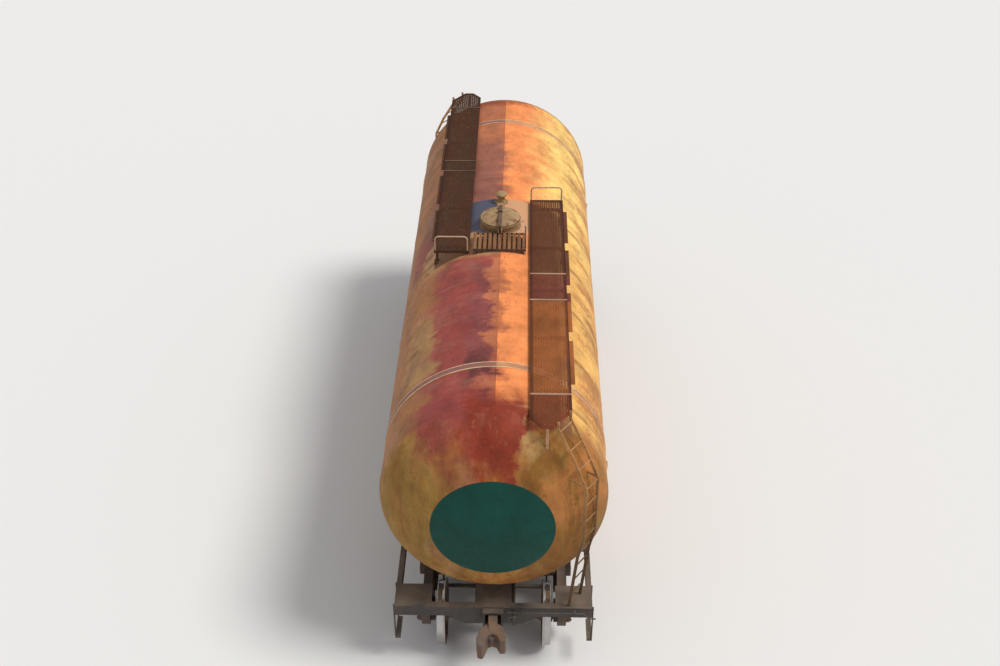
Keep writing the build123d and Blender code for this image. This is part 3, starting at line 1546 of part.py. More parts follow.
rod_z = rail_z + cyl_z
with BuildPart() as brake_rods:
    # A cross lever at the cylinder's rod end and one at the middle, with a rod to each bogie.
    lever_x = cyl_x - cylinder_l / 2 - piston_l - lever_w / 2
    with BuildSketch(Plane((lever_x, 85, rod_z))):
        SlotOverall(1000, lever_w, rotation=90)
    extrude(amount=lever_t / 2, both=True)
    with BuildSketch(Plane((lever_x - 620, 0, rod_z))):
        SlotOverall(760, lever_w, rotation=90)
    extrude(amount=lever_t / 2, both=True)
    with BuildSketch(Plane((lever_x, -120, rod_z), x_dir=(0, 1, 0), z_dir=(1, 0, 0))):
        Circle(brake_rod_r)
    extrude(amount=-620)
    with BuildSketch(Plane((lever_x, -300, rod_z), x_dir=(0, 1, 0), z_dir=(1, 0, 0))):
        Circle(brake_rod_r)
    extrude(amount=pivot_x - 1450 - lever_x)
    with BuildSketch(Plane((lever_x - 620, 300, rod_z), x_dir=(0, 1, 0), z_dir=(1, 0, 0))):
        Circle(brake_rod_r)
    extrude(amount=-(pivot_x - 1450 + lever_x - 620))
save(brake_rods, "brake_rods")

hand_x = -3440.0
hand_y = frame_half_w + 20
hand_z = sill_top_z - 98
with BuildPart() as hand_brake:
    with BuildSketch(Plane((hand_x, web_out_y, hand_z), x_dir=(1, 0, 0), z_dir=(0, 1, 0))):
        Rectangle(hand_box_l, hand_box_h)
    extrude(amount=hand_box_t)
    with BuildSketch(Plane((hand_x, web_out_y, hand_z), x_dir=(1, 0, 0), z_dir=(0, 1, 0))):
        Circle(hand_shaft_r)
    extrude(amount=hand_y - web_out_y)
    with BuildSketch(Plane((hand_x, hand_y, hand_z), x_dir=(1, 0, 0), z_dir=(0, 1, 0))):
        Circle(34)
        Rectangle(2 * hand_wheel_r - hand_rim_w, hand_spoke_w)
        Rectangle(hand_spoke_w, 2 * hand_wheel_r - hand_rim_w)
    extrude(amount=7, both=True)
    with BuildSketch(Plane((hand_x, hand_y, hand_z), x_dir=(1, 0, 0), z_dir=(0, 1, 0))):
        Circle(hand_wheel_r)
        Circle(hand_wheel_r - hand_rim_w, mode=Mode.SUBTRACT)
    extrude(amount=hand_rim_w / 2, both=True)
    # Bearing bracket off the bolster beam.
    hand_post_x = -pivot_x + beam_half_x
    with BuildSketch(Plane(((hand_post_x + hand_x + 30) / 2, beam_tip_y - 40, hand_z))):
        Rectangle(hand_x + 30 - hand_post_x, 12)
    extrude(amount=34, both=True)
save(hand_brake, "hand_brake")

# Uncoupling rods: a crank bar across each end beam, out to a handle at the side.
with BuildPart() as uncoupling_rods:
    for end_name, sign, turn in ends:
        bar_z = rail_z + end_beam_rise_z + 128
        bar_x = frame_half_l + 45
        with BuildLine(Plane((0, 0, 0), x_dir=(sign, 0, 0), z_dir=(0, 0, 1)).offset(bar_z)):
            bar_path = FilletPolyline(
                (bar_x, 200),
                (bar_x, frame_half_w - 140),
                (bar_x + 90, frame_half_w - 60),
                (bar_x + 90, frame_half_w + 40),
                radius=40,
            )
        with BuildSketch(Plane(bar_path @ 0, z_dir=bar_path % 0)):
            Circle(bar_r)
        sweep(path=bar_path)
        for clip_y in (420, frame_half_w - 260):
            with BuildSketch(
                Plane((sign * frame_half_l, sign * clip_y, bar_z), x_dir=(0, 1, 0), z_dir=(sign, 0, 0))
            ):
                Rectangle(30, 44)
            extrude(amount=60)
save(uncoupling_rods, "uncoupling_rods")
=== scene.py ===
"""Looks of a four-axle railway tank car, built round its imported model, in metres.

The sections follow the car as it is put together: wheelsets, bogies, frame, couplers, tank, hatch,
safety valve, saddles and straps, walkways, platform, ladders, the end beams' bolts, outlet and brake
gear, and last the floor, the light and the camera.
"""

import math

import bpy
import numpy as np
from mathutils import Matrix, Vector


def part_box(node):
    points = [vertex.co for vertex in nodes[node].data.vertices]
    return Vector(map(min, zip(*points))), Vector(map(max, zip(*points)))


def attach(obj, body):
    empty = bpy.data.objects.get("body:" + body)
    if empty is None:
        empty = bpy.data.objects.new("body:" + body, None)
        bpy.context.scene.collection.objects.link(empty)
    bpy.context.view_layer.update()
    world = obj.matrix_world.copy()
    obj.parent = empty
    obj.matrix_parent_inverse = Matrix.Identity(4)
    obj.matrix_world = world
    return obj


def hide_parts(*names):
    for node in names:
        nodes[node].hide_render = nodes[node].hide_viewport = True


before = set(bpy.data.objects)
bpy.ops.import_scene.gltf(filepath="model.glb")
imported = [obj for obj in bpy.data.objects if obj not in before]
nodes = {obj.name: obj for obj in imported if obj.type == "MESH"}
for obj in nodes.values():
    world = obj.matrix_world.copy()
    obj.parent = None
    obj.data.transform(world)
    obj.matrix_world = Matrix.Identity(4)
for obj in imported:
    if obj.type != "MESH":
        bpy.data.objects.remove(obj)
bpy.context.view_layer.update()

# Wheels: forged steel discs, brown with brake dust and rust, their treads rolled bright by the rail.
# They are pressed on the axles, so no fastener shows.
axle_height, tread_r, flange_r, tread_y = 0.5065, 0.472, 0.5065, 0.725
pivot_x, half_wheelbase = 3.9, 0.925
ends = {"front": 1, "rear": -1}
wheel_xs = {end: [sign * pivot_x + step for step in (half_wheelbase, -half_wheelbase)]
            for end, sign in ends.items()}


def shader_node(tree, kind, inputs=(), **settings):
    """Add a node of a kind, set its fields, and join or set its inputs by their names."""
    made = tree.nodes.new("ShaderNode" + kind)
    for field, value in settings.items():
        setattr(made, field, value)
    for socket, value in dict(inputs).items():
        if isinstance(value, bpy.types.NodeSocket):
            tree.links.new(value, made.inputs[socket])
        else:
            made.inputs[socket].default_value = value
    return made


def noise(where, scale, detail=4.0, roughness=0.55, stretch=None):
    """Cloudy pattern over the place given, pulled long by the three factors of stretch."""
    tree = where.id_data
    if stretch:
        where = shader_node(tree, "Mapping", {"Vector": where, "Scale": stretch}).outputs[0]
    wanted = {"Vector": where, "Scale": scale, "Detail": detail, "Roughness": roughness}
    return shader_node(tree, "TexNoise", wanted).outputs["Fac"]


def between(value, low, high, out_low=0.0, out_high=1.0):
    """Spread the part of a value between low and high over the range asked for, and cut the rest."""
    wanted = {"Value": value, "From Min": low, "From Max": high, "To Min": out_low, "To Max": out_high}
    return shader_node(value.id_data, "MapRange", wanted).outputs[0]


def tree_of(*values):
    """The node tree that the sockets among some values belong to."""
    return next(value.id_data for value in values if isinstance(value, bpy.types.NodeSocket))


def sums(operation, first, second, clamp=False):
    """One step of arithmetic on two values."""
    made = shader_node(tree_of(first, second), "Math", {0: first, 1: second}, operation=operation)
    made.use_clamp = clamp
    return made.outputs[0]


def total(first, second, clamp=False):
    """Two values added up, and cut at 1 where asked."""
    return sums("ADD", first, second, clamp)


def less(first, second):
    """The first value less the second."""
    return sums("SUBTRACT", first, second)


def product(first, *others):
    """Values multiplied together, one after the other."""
    for other in others:
        first = sums("MULTIPLY", first, other)
    return first


def off_mark(value, mark=0.0):
    """How far a value lies from a mark, to either side of it."""
    return sums("ABSOLUTE", less(value, mark), 0.0)


def off_axis(across, high):
    """How far a place lies from a straight axis, from its two offsets."""
    squares = total(product(across, across), product(high, high))
    return sums("SQRT", squares, 0.0)


def axes_of(place):
    """The three parts of a place or a direction: along the car, across it and up."""
    return shader_node(place.id_data, "SeparateXYZ", {0: place}).outputs


def coat_over(share, under, over):
    """Lay one colour over another by its share."""
    under, over = ((*paint, 1) if isinstance(paint, tuple) else paint for paint in (under, over))
    inputs = {0: share, 6: under, 7: over}
    return shader_node(share.id_data, "Mix", inputs, data_type="RGBA").outputs[2]


def new_finish(name):
    """Start a finish, and give its surface shader and the place on the car."""
    finish = bpy.data.materials.new(name)
    finish.use_nodes = True
    shader = finish.node_tree.nodes["Principled BSDF"]
    place = shader_node(finish.node_tree, "TexCoord").outputs["Object"]
    return finish, shader, place


def join_up(shader, colour, roughness, height, depth):
    """Feed the shader its colour, its roughness and the small relief of its surface."""
    tree = shader.id_data
    tree.links.new(colour, shader.inputs["Base Color"])
    tree.links.new(roughness, shader.inputs["Roughness"])
    relief = shader_node(tree, "Bump", {"Height": height, "Strength": 1.0, "Distance": depth})
    tree.links.new(relief.outputs[0], shader.inputs["Normal"])


def wear(finish, *names):
    """Give model pieces their finish."""
    for name in names:
        nodes[name].data.materials.clear()
        nodes[name].data.materials.append(finish)


def wheel_finish():
    """Brown wheel with a bright ring where the rail and the brake shoes rub it."""
    finish, shader, place = new_finish("wheel_steel")
    flecks = noise(place, 14, 8, 0.65)
    fine = noise(place, 120, 5, 0.6)
    clouds = noise(place, 3, 5)
    x, y, z = axes_of(place)
    high = less(z, axle_height)
    bright = 0.0
    for wheel_x in wheel_xs["front"] + wheel_xs["rear"]:
        along = less(x, wheel_x)
        ring = between(off_axis(along, high), tread_r - 0.012, tread_r)
        near = between(off_mark(along), flange_r + 0.2, flange_r + 0.19)
        bright = sums("MAXIMUM", bright, product(ring, near))
    bright = product(bright, between(off_mark(y), tread_y - 0.003, tread_y + 0.003))
    brown = coat_over(between(clouds, 0.35, 0.65), (0.075, 0.045, 0.03), (0.15, 0.088, 0.055))
    brown = coat_over(between(flecks, 0.52, 0.7), brown, (0.24, 0.12, 0.06))
    colour = coat_over(bright, brown, (0.46, 0.44, 0.42))
    relief = product(total(flecks, fine), between(bright, 0, 1, 1, 0.1))
    join_up(shader, colour, between(bright, 0, 1, 0.82, 0.26), relief, 0.0015)
    finish.node_tree.links.new(product(bright, 0.95), shader.inputs["Metallic"])
    return finish


wear(wheel_finish(), *[f"wheels_{number}" for number in range(1, 5)])

# Axles: round steel forgings, turned down in steps to the seats where the wheels are pressed on.
# Between the wheels they are dull with oil and dust.
dust_brown, rust_brown = (0.20, 0.15, 0.105), (0.21, 0.085, 0.035)


def worn_steel(name, paint, rust, dust, rust_share=0.5, dust_share=0.5, grain=1.0):
    """Paint or scale on steel: cloudy paint, rust coming through in flecks, runs and dust on top."""
    finish, shader, place = new_finish(name)
    clouds = noise(place, 1.7 * grain, 6, 0.6)
    flecks = noise(place, 11.0 * grain, 9, 0.68)
    runs = noise(place, 5.0 * grain, 5, 0.6, (1.6, 1.6, 0.16))
    fine = noise(place, 95.0 * grain, 6, 0.7)
    dark_paint, dark_rust = tuple(0.62 * c for c in paint), tuple(0.5 * c for c in rust)
    colour = coat_over(between(clouds, 0.35, 0.68), dark_paint, paint)
    # The larger the share of rust, the lower the level of the pattern that it comes through at.
    level = 0.86 - 0.3 * rust_share
    rusty = between(total(flecks, product(clouds, 0.35)), level, level + 0.12)
    rust_colour = coat_over(between(fine, 0.35, 0.65), dark_rust, rust)
    colour = coat_over(rusty, colour, rust_colour)
    colour = coat_over(between(runs, 0.56, 0.8, 0.0, 0.55), colour, dark_rust)
    # Dust settles on what faces up.
    facing = shader_node(finish.node_tree, "NewGeometry").outputs["Normal"]
    up = axes_of(facing)[2]
    settled = product(between(up, 0.15, 0.95), between(clouds, 0.3, 0.62), dust_share)
    colour = coat_over(settled, colour, dust)
    roughness = between(total(rusty, settled, clamp=True), 0.0, 1.0, 0.62, 0.93)
    height = total(product(flecks, 0.7), product(fine, 0.3))
    join_up(shader, colour, roughness, height, 0.0035)
    return finish


axle_finish = worn_steel("axle_steel", (0.13, 0.10, 0.085), rust_brown, dust_brown, 0.45, 0.5, 1.4)
wear(axle_finish, *[f"axle_{number}" for number in range(1, 5)])

# Bogie castings: side frames, bolsters and axle boxes of cast steel as they came from the sand,
# brown with rust, brake dust and old oil. The boxes have bolted covers over their bearings.
cast_finish = worn_steel("cast_steel", (0.105, 0.074, 0.058), (0.23, 0.10, 0.045), dust_brown, 0.55, 0.75)
for end in ends:
    wear(cast_finish, f"side_frames_{end}", f"bolster_{end}", f"axle_boxes_{end}")


def joined_mesh(name, points, faces, finish, smooth=False):
    """One piece from arrays of points and of faces."""
    mesh = bpy.data.meshes.new(name)
    mesh.from_pydata([tuple(p) for p in points], [], [tuple(int(i) for i in f) for f in faces])
    mesh.validate()
    mesh.update()
    mesh.materials.append(finish)
    if smooth:
        mesh.shade_smooth()
    piece = bpy.data.objects.new(name, mesh)
    bpy.context.scene.collection.objects.link(piece)
    return piece


def hex_bolts(name, places, size, finish, body):
    """Bolt heads with washers: each place is a point on the surface and the way out of it."""
    rings = [
        # radius and height of washer, head and chamfer, as shares of the bolt's size
        (0.95, 0.0), (0.95, 0.14), (0.62, 0.14), (0.55, 0.16), (0.55, 0.62), (0.44, 0.7),
    ]
    corner = np.arange(6) * math.pi / 3
    points, faces = [], []
    for at, out in places:
        turn = Vector((0, 0, 1)).rotation_difference(Vector(out)).to_matrix()
        first = len(points)
        for r, h in rings:
            for a in corner:
                local = Vector((r * size * math.cos(a), r * size * math.sin(a), h * size))
                points.append(Vector(at) + turn @ local)
        for ring in range(len(rings) - 1):
            for k in range(6):
                a, b = first + 6 * ring + k, first + 6 * ring + (k + 1) % 6
                faces.append((a, b, b + 6, a + 6))
        last = first + 6 * (len(rings) - 1)
        faces.append(tuple(range(last, last + 6)))
        faces.append(tuple(range(first + 5, first - 1, -1)))
    piece = joined_mesh(name, points, faces, finish)
    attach(piece, body)


def bolt_ring(count, ring_r):
    """Two offsets for each bolt of an even ring."""
    angles = [2 * math.pi * (k + 0.5) / count for k in range(count)]
    return [(ring_r * math.cos(a), ring_r * math.sin(a)) for a in angles]


cover_y, cover_bolt_r, cover_bolt_count = 1.162, 0.102, 8
for end in ends:
    places = []
    for wheel_x in wheel_xs[end]:
        for side in (1, -1):
            for along, up in bolt_ring(cover_bolt_count, cover_bolt_r):
                places.append(((wheel_x + along, side * cover_y, axle_height + up), (0, side, 0)))
    hex_bolts(f"cover_bolts_{end}", places, 0.022, cast_finish, f"bogie_{end}")

# Springs: nests of double coils, wound from round steel bar and ground flat at their ends. They
# stand on the side frames' shelves and carry the bolster, with nothing but the load to hold them.
nest_y, nest_pitch = 1.018, 0.2
nested_coils = [
    # radius of the coil, radius of its bar, turns
    (0.076, 0.0155, 5.6),
    (0.044, 0.0095, 8.4),
]
spring_finish = worn_steel("spring_steel", (0.07, 0.055, 0.05), rust_brown, dust_brown, 0.35, 0.6, 2.0)


def coil(at, low, high, coil_r, wire_r, turns):
    """Points and faces of one coil spring with its ends closed and ground flat."""
    steps, sides = 18, 8
    count = int(turns * steps) + 1
    points, faces = [], []
    for i in range(count):
        t = i / (count - 1)
        # The first and the last turn lie flat, and the pitch is taken up between them.
        lift = min(max((t * turns - 0.8) / (turns - 1.6), 0.0), 1.0)
        z = low + wire_r + lift * (high - low - 2 * wire_r)
        a = 2 * math.pi * t * turns
        for k in range(sides):
            b = 2 * math.pi * k / sides
            r = coil_r + wire_r * math.cos(b)
            points.append((at[0] + r * math.cos(a), at[1] + r * math.sin(a), z + wire_r * math.sin(b)))
        if i:
            for k in range(sides):
                m = (k + 1) % sides
                first = sides * (i - 1)
                faces.append((first + k, first + m, first + sides + m, first + sides + k))
    faces.append(tuple(range(sides)))
    faces.append(tuple(range(len(points) - 1, len(points) - 1 - sides, -1)))
    return points, faces


def gather(*shapes):
    """Put the points and faces of several shapes into one."""
    points, faces = [], []
    for more_points, more_faces in shapes:
        faces += [tuple(i + len(points) for i in face) for face in more_faces]
        points += more_points
    return points, faces


for end, sign in ends.items():
    low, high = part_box(f"springs_{end}")
    shapes = []
    for side in (1, -1):
        for along in (-nest_pitch, 0.0, nest_pitch):
            for coil_r, wire_r, turns in nested_coils:
                at = (sign * pivot_x + along, side * nest_y)
                shapes.append(coil(at, low.z, high.z, coil_r, wire_r, turns))
    springs = joined_mesh(f"coil_springs_{end}", *gather(*shapes), spring_finish, smooth=True)
    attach(springs, f"bogie_{end}")
    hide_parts(f"springs_{end}")

# Brake beams and shoes: a steel beam across the bogie for each axle, with a cast head and an iron
# shoe at each wheel. Grime and brake dust have turned them black.
brake_finish = worn_steel("brake_paint", (0.045, 0.04, 0.038), (0.16, 0.075, 0.04), dust_brown, 0.35, 0.7)
wear(brake_finish, "brake_beams_front", "brake_beams_rear")

# Frame: rolled channels and plates welded into a centre sill, with beams across it over the bogies
# and at the ends. The black-brown paint is dull under dirt.
frame_finish = worn_steel("frame_paint", (0.06, 0.047, 0.042), (0.19, 0.085, 0.042), dust_brown, 0.4, 0.8)
wear(frame_finish, "centre_sill", "bolster_beams", "end_beams", "side_sills", "corner_steps")

# Couplers and draft gear: bare steel castings, rusty all over. Each coupler swings in the mouth of
# the end beam, on the draft gear that sits in the centre sill.
coupler_finish = worn_steel("coupler_steel", (0.12, 0.085, 0.066), (0.25, 0.11, 0.05), dust_brown, 0.7, 0.6)
wear(coupler_finish, "draft_gear", "coupler_front", "coupler_rear")

# Tank: a barrel of rolled plate and two pressed heads, welded together. Its orange paint has gone
# salmon along the top, ochre down the sides and crimson left of the middle, and the near head has a
# dark green disc. Left of the top seam the paint is darker, partly as painted shade, and the plum and
# mauve along the seam are painted shade. It rests on saddles, under a strap at each end.
tank_axis_z, tank_r, head_start = 2.908, 1.61, 4.8
bracket_first, bracket_pitch = -0.62, 1.25
orange, peach, amber = (0.84, 0.270, 0.085), (0.90, 0.58, 0.170), (0.80, 0.44, 0.118)
gold, dim_shade, salmon = (0.58, 0.29, 0.070), (0.41, 0.132, 0.058), (0.50, 0.160, 0.065)
ochre, olive, cream = (0.38, 0.155, 0.050), (0.28, 0.175, 0.036), (0.56, 0.38, 0.155)
crimson, rose, brick = (0.30, 0.056, 0.048), (0.48, 0.18, 0.125), (0.245, 0.033, 0.015)
plum_shade, mauve_shade, dark_plum_shade = (0.17, 0.055, 0.055), (0.26, 0.095, 0.070), (0.11, 0.030, 0.028)
rust, umber, apricot = (0.14, 0.050, 0.022), (0.185, 0.080, 0.012), (0.76, 0.27, 0.095)
slate, pink = (0.078, 0.084, 0.125), (0.62, 0.33, 0.17)


def stretch_of(value, start, end, soft):
    """1 between start and end, fading over the soft width outside them."""
    rise = between(value, start - soft, start)
    fall = between(value, end + soft, end)
    return product(rise, fall)


class TankCoat:
    """The tank's paint as it builds up: where each spot lies, its patterns and the colour so far."""

    def __init__(self, place):
        self.place, self.colour = place, None
        self.x, self.y, z = axes_of(place)
        self.high = less(z, tank_axis_z)
        self.angle = product(sums("ARCTAN2", self.y, self.high), 180 / math.pi)
        # The weather works along the barrel and round it, so the patterns lie on the unrolled sheet.
        round_it = product(self.angle, tank_r * math.pi / 180)
        self.sheet = shader_node(place.id_data, "CombineXYZ", {0: self.x, 1: round_it}).outputs[0]
        self.on_head = between(off_mark(self.x), head_start - 0.02, head_start + 0.1)
        self.big = noise(place, 0.8, 6, 0.6)
        self.middle = noise(place, 2.6, 8, 0.66)
        self.small = noise(place, 17.0, 8, 0.7)
        self.smears = self.washed(0.6, (2.6, 0.85, 1.0), (2.0, 2.0, 0.9))
        self.runs = self.washed(0.66, (7.5, 0.75, 1.0), (5.0, 5.0, 0.7))
        self.fine_runs = self.washed(0.7, (26.0, 1.5, 1.0), (17.0, 17.0, 1.3))
        # The paints' edges wander by about ten degrees round the tank and a quarter of a metre along.
        ragged = less(total(self.middle, product(self.smears, 0.9)), 0.95)
        self.wandering = total(self.angle, product(ragged, 34.0))
        self.along = total(self.x, product(ragged, 0.9))
        chips = total(noise(place, 27.0, 9, 0.7), product(self.middle, 0.6))
        self.flaked = between(chips, 0.93, 0.99, 0, 0.75)

    def washed(self, roughness, on_barrel, on_heads):
        """Streaks down the sheet of the barrel, and straight down on the heads."""
        barrel = noise(self.sheet, 1.0, 6, roughness, on_barrel)
        heads = noise(self.place, 1.0, 6, roughness, on_heads)
        barrel = product(barrel, less(1.0, self.on_head))
        return total(barrel, product(heads, self.on_head))

    def lay(self, share, paint):
        """Lay a paint over the colour so far, by its share."""
        self.colour = coat_over(share, self.colour, paint)


def first_coat(coat):
    """Orange, peach and gold right of the top seam, salmon, ochre and olive left of it, brown heads. Left
    of the seam the paint is darker, partly as painted shade.
    """
    wandering = coat.wandering
    far = between(coat.along, 0.6, -0.8)
    crown = coat_over(between(coat.big, 0.35, 0.65), orange, tuple(1.04 * c for c in orange))
    shoulder = coat_over(far, amber, peach)
    right = coat_over(between(wandering, 16.0, 40.0), crown, shoulder)
    right = coat_over(between(wandering, 60.0, 100.0), right, gold)
    right = coat_over(between(coat.middle, 0.58, 0.74, 0, 0.35), right, apricot)
    # Left of the seam the crown is dim, partly as painted shade.
    left = coat_over(between(wandering, -24.0, -46.0), dim_shade, ochre)
    left = coat_over(between(wandering, -75.0, -120.0), left, olive)
    far_crown = product(far, stretch_of(wandering, -30.0, 4.0, 8.0))
    left = coat_over(far_crown, left, salmon)
    # At the top seam the darker left meets the lighter right, a step that is partly painted shade.
    edge = total(coat.y, product(less(coat.small, 0.5), 0.012))
    coat.colour = coat_over(between(edge, 0.016, 0.024), left, right)
    head_brown, head_tan = (0.30, 0.105, 0.018), (0.36, 0.172, 0.030)
    head_paint = coat_over(between(coat.runs, 0.42, 0.6), head_brown, head_tan)
    coat.lay(product(coat.on_head, 0.92), head_paint)


patches = [
    # paint, from and to along the car, from and to round it in degrees, soft edge, strength
    # The mauve and plum patches left of the seam are painted shade.
    (mauve_shade, -3.0, -0.5, -40, -2, 9.0, 0.7),
    (mauve_shade, -2.0, -0.3, -24, -7, 6.0, 0.6),
    (slate, -1.1, 0.2, -52, -28, 8.0, 0.35),
    (crimson, -0.4, 0.35, -64, -48, 8.0, 0.75),
    (cream, 0.15, 0.85, -46, -4, 4.0, 0.62),
    (crimson, 1.05, 4.75, -34, -6, 8.0, 0.95),
    (salmon, 1.2, 3.4, -4, 2, 3.0, 0.75),
    (plum_shade, 1.3, 4.8, -13, -7, 4.0, 0.55),
    (dark_plum_shade, 3.75, 4.7, -13, -7, 3.5, 0.75),
    (ochre, 2.1, 3.4, -62, -40, 8.0, 0.7),
    (cream, 2.4, 3.6, -52, -40, 6.0, 0.4),
    (crimson, 4.55, 5.12, -40, -12, 8.0, 0.8),
    (brick, 4.72, 5.36, -13, 15, 7.0, 0.98),
    (cream, 5.13, 5.24, 19, 26, 4.0, 0.6),
    (cream, 5.02, 5.2, -60, -46, 6.0, 0.2),
    (olive, 5.05, 5.6, -150, -58, 12.0, 0.5),
    (umber, 4.9, 5.6, 27, 145, 11.0, 0.65),
    (brick, -5.4, -4.9, -18, 14, 7.0, 0.6),
]
soft_degrees_a_metre = 22


def lay_patches(coat):
    """Places where another paint has come up, and the mauve and plum painted shade, each with wandering
    edges.
    """
    for paint, x0, x1, low_angle, high_angle, soft, strength in patches:
        along = stretch_of(coat.along, x0, x1, soft / soft_degrees_a_metre)
        around = stretch_of(coat.wandering, low_angle, high_angle, soft)
        coat.lay(product(along, around, strength), paint)


def lay_runs(coat):
    """Pale smears across the crimson, cream and brown runs down the sides, and flaked spots."""
    angle, runs, fine_runs = coat.angle, coat.runs, coat.fine_runs
    run_brown = (0.26, 0.100, 0.034)
    smeared = product(between(coat.smears, 0.50, 0.68), between(angle, 0.0, -5.0), 0.42)
    coat.lay(smeared, rose)
    aside = between(off_mark(angle, -22.0), 22.0, 60.0)
    clear_of_head = between(coat.on_head, 0, 1, 1, 0.45)
    in_clouds = between(coat.big, 0.38, 0.58, 0.25, 1.0)
    coat.lay(product(aside, between(runs, 0.50, 0.70, 0, 0.5), in_clouds, clear_of_head), cream)
    more_on_left = between(angle, 60.0, -10.0, 0.35, 1.0)
    coat.lay(product(aside, more_on_left, between(runs, 0.47, 0.33, 0, 0.55)), run_brown)
    coat.lay(between(fine_runs, 0.57, 0.74, 0, 0.25), cream)
    coat.lay(between(fine_runs, 0.42, 0.28, 0, 0.4), rust)
    coat.lay(coat.flaked, rust)


def lay_rust(coat):
    """Brown bands below the right walkway, and a run of rust from the foot of each bracket."""
    small = coat.small
    band_brown, bracket_rust = (0.42, 0.160, 0.045), (0.19, 0.070, 0.026)
    rough = total(coat.smears, product(total(coat.runs, small), 0.45))
    low_right = stretch_of(coat.wandering, 54.0, 84.0, 14.0)
    coat.lay(product(low_right, between(rough, 0.90, 1.04), 0.8), band_brown)
    for side in (1, -1):
        own_x, own_angle = product(coat.x, side), product(coat.angle, side)
        step = sums("DIVIDE", less(own_x, bracket_first), bracket_pitch)
        off = off_mark(step, sums("ROUND", step, 0.0))
        off = total(off, product(less(small, 0.5), 0.06))
        down = product(
            stretch_of(own_angle, 41.5, 50.0, 22.0), between(own_angle, 40.5, 41.5))
        streak = product(
            down, between(off, 0.05, 0.015), between(own_x, -0.8, -0.7),
            between(own_x, 4.7, 4.6), between(coat.fine_runs, 0.38, 0.6, 0.25, 0.8))
        coat.lay(streak, bracket_rust)


def fade(coat):
    """Old wash lines and faded places make the same paint darker and lighter."""
    wash_lines = coat.washed(0.7, (1.3, 1.9, 1.0), (2.6, 2.6, 1.3))
    faded = between(total(wash_lines, product(coat.middle, 0.6)), 0.62, 1.0, 0.72, 1.29)
    scaled = {0: coat.colour, "Scale": faded}
    coat.colour = shader_node(faded.id_data, "VectorMath", scaled, operation="SCALE").outputs[0]


def plate_shade_and_light(y):
    """The plate's light paint round the hatch: slate as painted shade left of the seam, pink as painted
    light right of it.
    """
    return coat_over(between(y, -0.02, 0.06), slate, pink)


def lay_hatch_plate(coat):
    """The plate round the hatch, and painted shade on the paint under the platform."""
    x, y = coat.x, coat.y
    plate_x, plate_y, plate_edge = (-0.84, 0.17), (-0.52, 0.50), 0.012
    below_x, below_y, below_edge = (0.39, 0.88), (-0.42, 0.40), 0.03
    on_top = between(coat.high, 1.2, 1.3)
    plate = product(
        stretch_of(x, *plate_x, plate_edge), stretch_of(y, *plate_y, plate_edge), on_top)
    coat.lay(product(plate, between(coat.small, 0.72, 0.58, 0.65, 0.98)), plate_shade_and_light(y))
    # Painted shadow of the platform on the barrel under it.
    below = product(
        stretch_of(x, *below_x, below_edge), stretch_of(y, *below_y, below_edge), on_top)
    coat.lay(product(below, 0.8), (0.13, 0.062, 0.034))


def lay_walkway_shade_and_dirt(coat):
    """Painted shade and dirt on the paint below the walkways."""
    deck_low, deck_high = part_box("walkway_right")
    for side in (1, -1):
        own_x, own_y = product(coat.x, side), product(coat.y, side)
        along = stretch_of(own_x, deck_low.x + 0.03, deck_high.x - 0.30, 0.03)
        across = stretch_of(own_y, deck_low.y + 0.02, deck_high.y - 0.06, 0.02)
        on_top = between(coat.high, 0.9, 1.0)
        patchy = between(coat.small, 0.70, 0.50, 0.55, 0.8)
        coat.lay(product(along, across, on_top, patchy), (0.17, 0.070, 0.032))


def lay_manhole_dark(coat):
    """Near-black on the barrel's inner skin and cut edge round the manhole."""
    high = coat.high
    inside = between(off_axis(coat.y, high), tank_r - 0.004, tank_r - 0.012)
    inside = product(
        inside, stretch_of(coat.x, -0.5, 0.5, 0.02), between(high, 0.5, 0.6))
    residue = coat_over(
        between(coat.middle, 0.4, 0.65), (0.020, 0.014, 0.011), (0.055, 0.030, 0.018))
    coat.lay(inside, residue)


def lay_disc(coat):
    """The green disc on the near head, its paint cloudy and a little washed."""
    disc_drop, disc_r = 0.012, 0.86
    from_middle = off_axis(coat.y, total(coat.high, disc_drop))
    on_disc = product(
        between(from_middle, disc_r + 0.008, disc_r),
        between(coat.x, head_start, head_start + 0.01))
    green = coat_over(
        between(coat.middle, 0.4, 0.7), (0.001, 0.046, 0.033), (0.002, 0.066, 0.048))
    green = coat_over(between(coat.runs, 0.64, 0.80, 0, 0.3), green, (0.06, 0.11, 0.085))
    coat.lay(on_disc, green)


def tank_finish():
    """Weathered paint of the barrel and heads, laid coat by coat."""
    finish, shader, place = new_finish("tank_paint")
    coat = TankCoat(place)
    first_coat(coat)
    lay_patches(coat)
    lay_runs(coat)
    lay_rust(coat)
    fade(coat)
    lay_hatch_plate(coat)
    lay_walkway_shade_and_dirt(coat)
    lay_manhole_dark(coat)
    lay_disc(coat)
    height = total(product(coat.middle, 2.5), coat.small)
    roughness = between(total(coat.small, coat.flaked, clamp=True), 0.3, 1.0, 0.5, 0.88)
    join_up(shader, coat.colour, roughness, height, 0.004)
    shader.inputs["Specular IOR Level"].default_value = 0.2
    return finish


tank_paint = tank_finish()
wear(tank_paint, "tank_barrel")

# Weld beads: the heads and the barrel's three courses are welded round, and the top sheet along. The
# seam on top stops short of the valve's flange and of the plate round the neck.
seam_y, course_end = 0.020, 1.6
bead_w, bead_h, bead_sunk = 0.017, 0.0045, 0.003


def swept(path, section, closed=False):
    """Points and faces of a section drawn along a path of places, each with its side and its up."""
    points, faces = [], []
    for at, side, up in path:
        for across, rise in section:
            points.append(Vector(at) + across * Vector(side) + rise * Vector(up))
    count, stations = len(section), len(path)
    for i in range(stations if closed else stations - 1):
        for k in range(count):
            a, b = i * count + k, i * count + (k + 1) % count
            c, d = (i + 1) % stations * count + (k + 1) % count, (i + 1) % stations * count + k
            faces.append((a, b, c, d))
    if not closed:
        faces.append(tuple(range(count - 1, -1, -1)))
        faces.append(tuple(range((stations - 1) * count, stations * count)))
    return points, faces


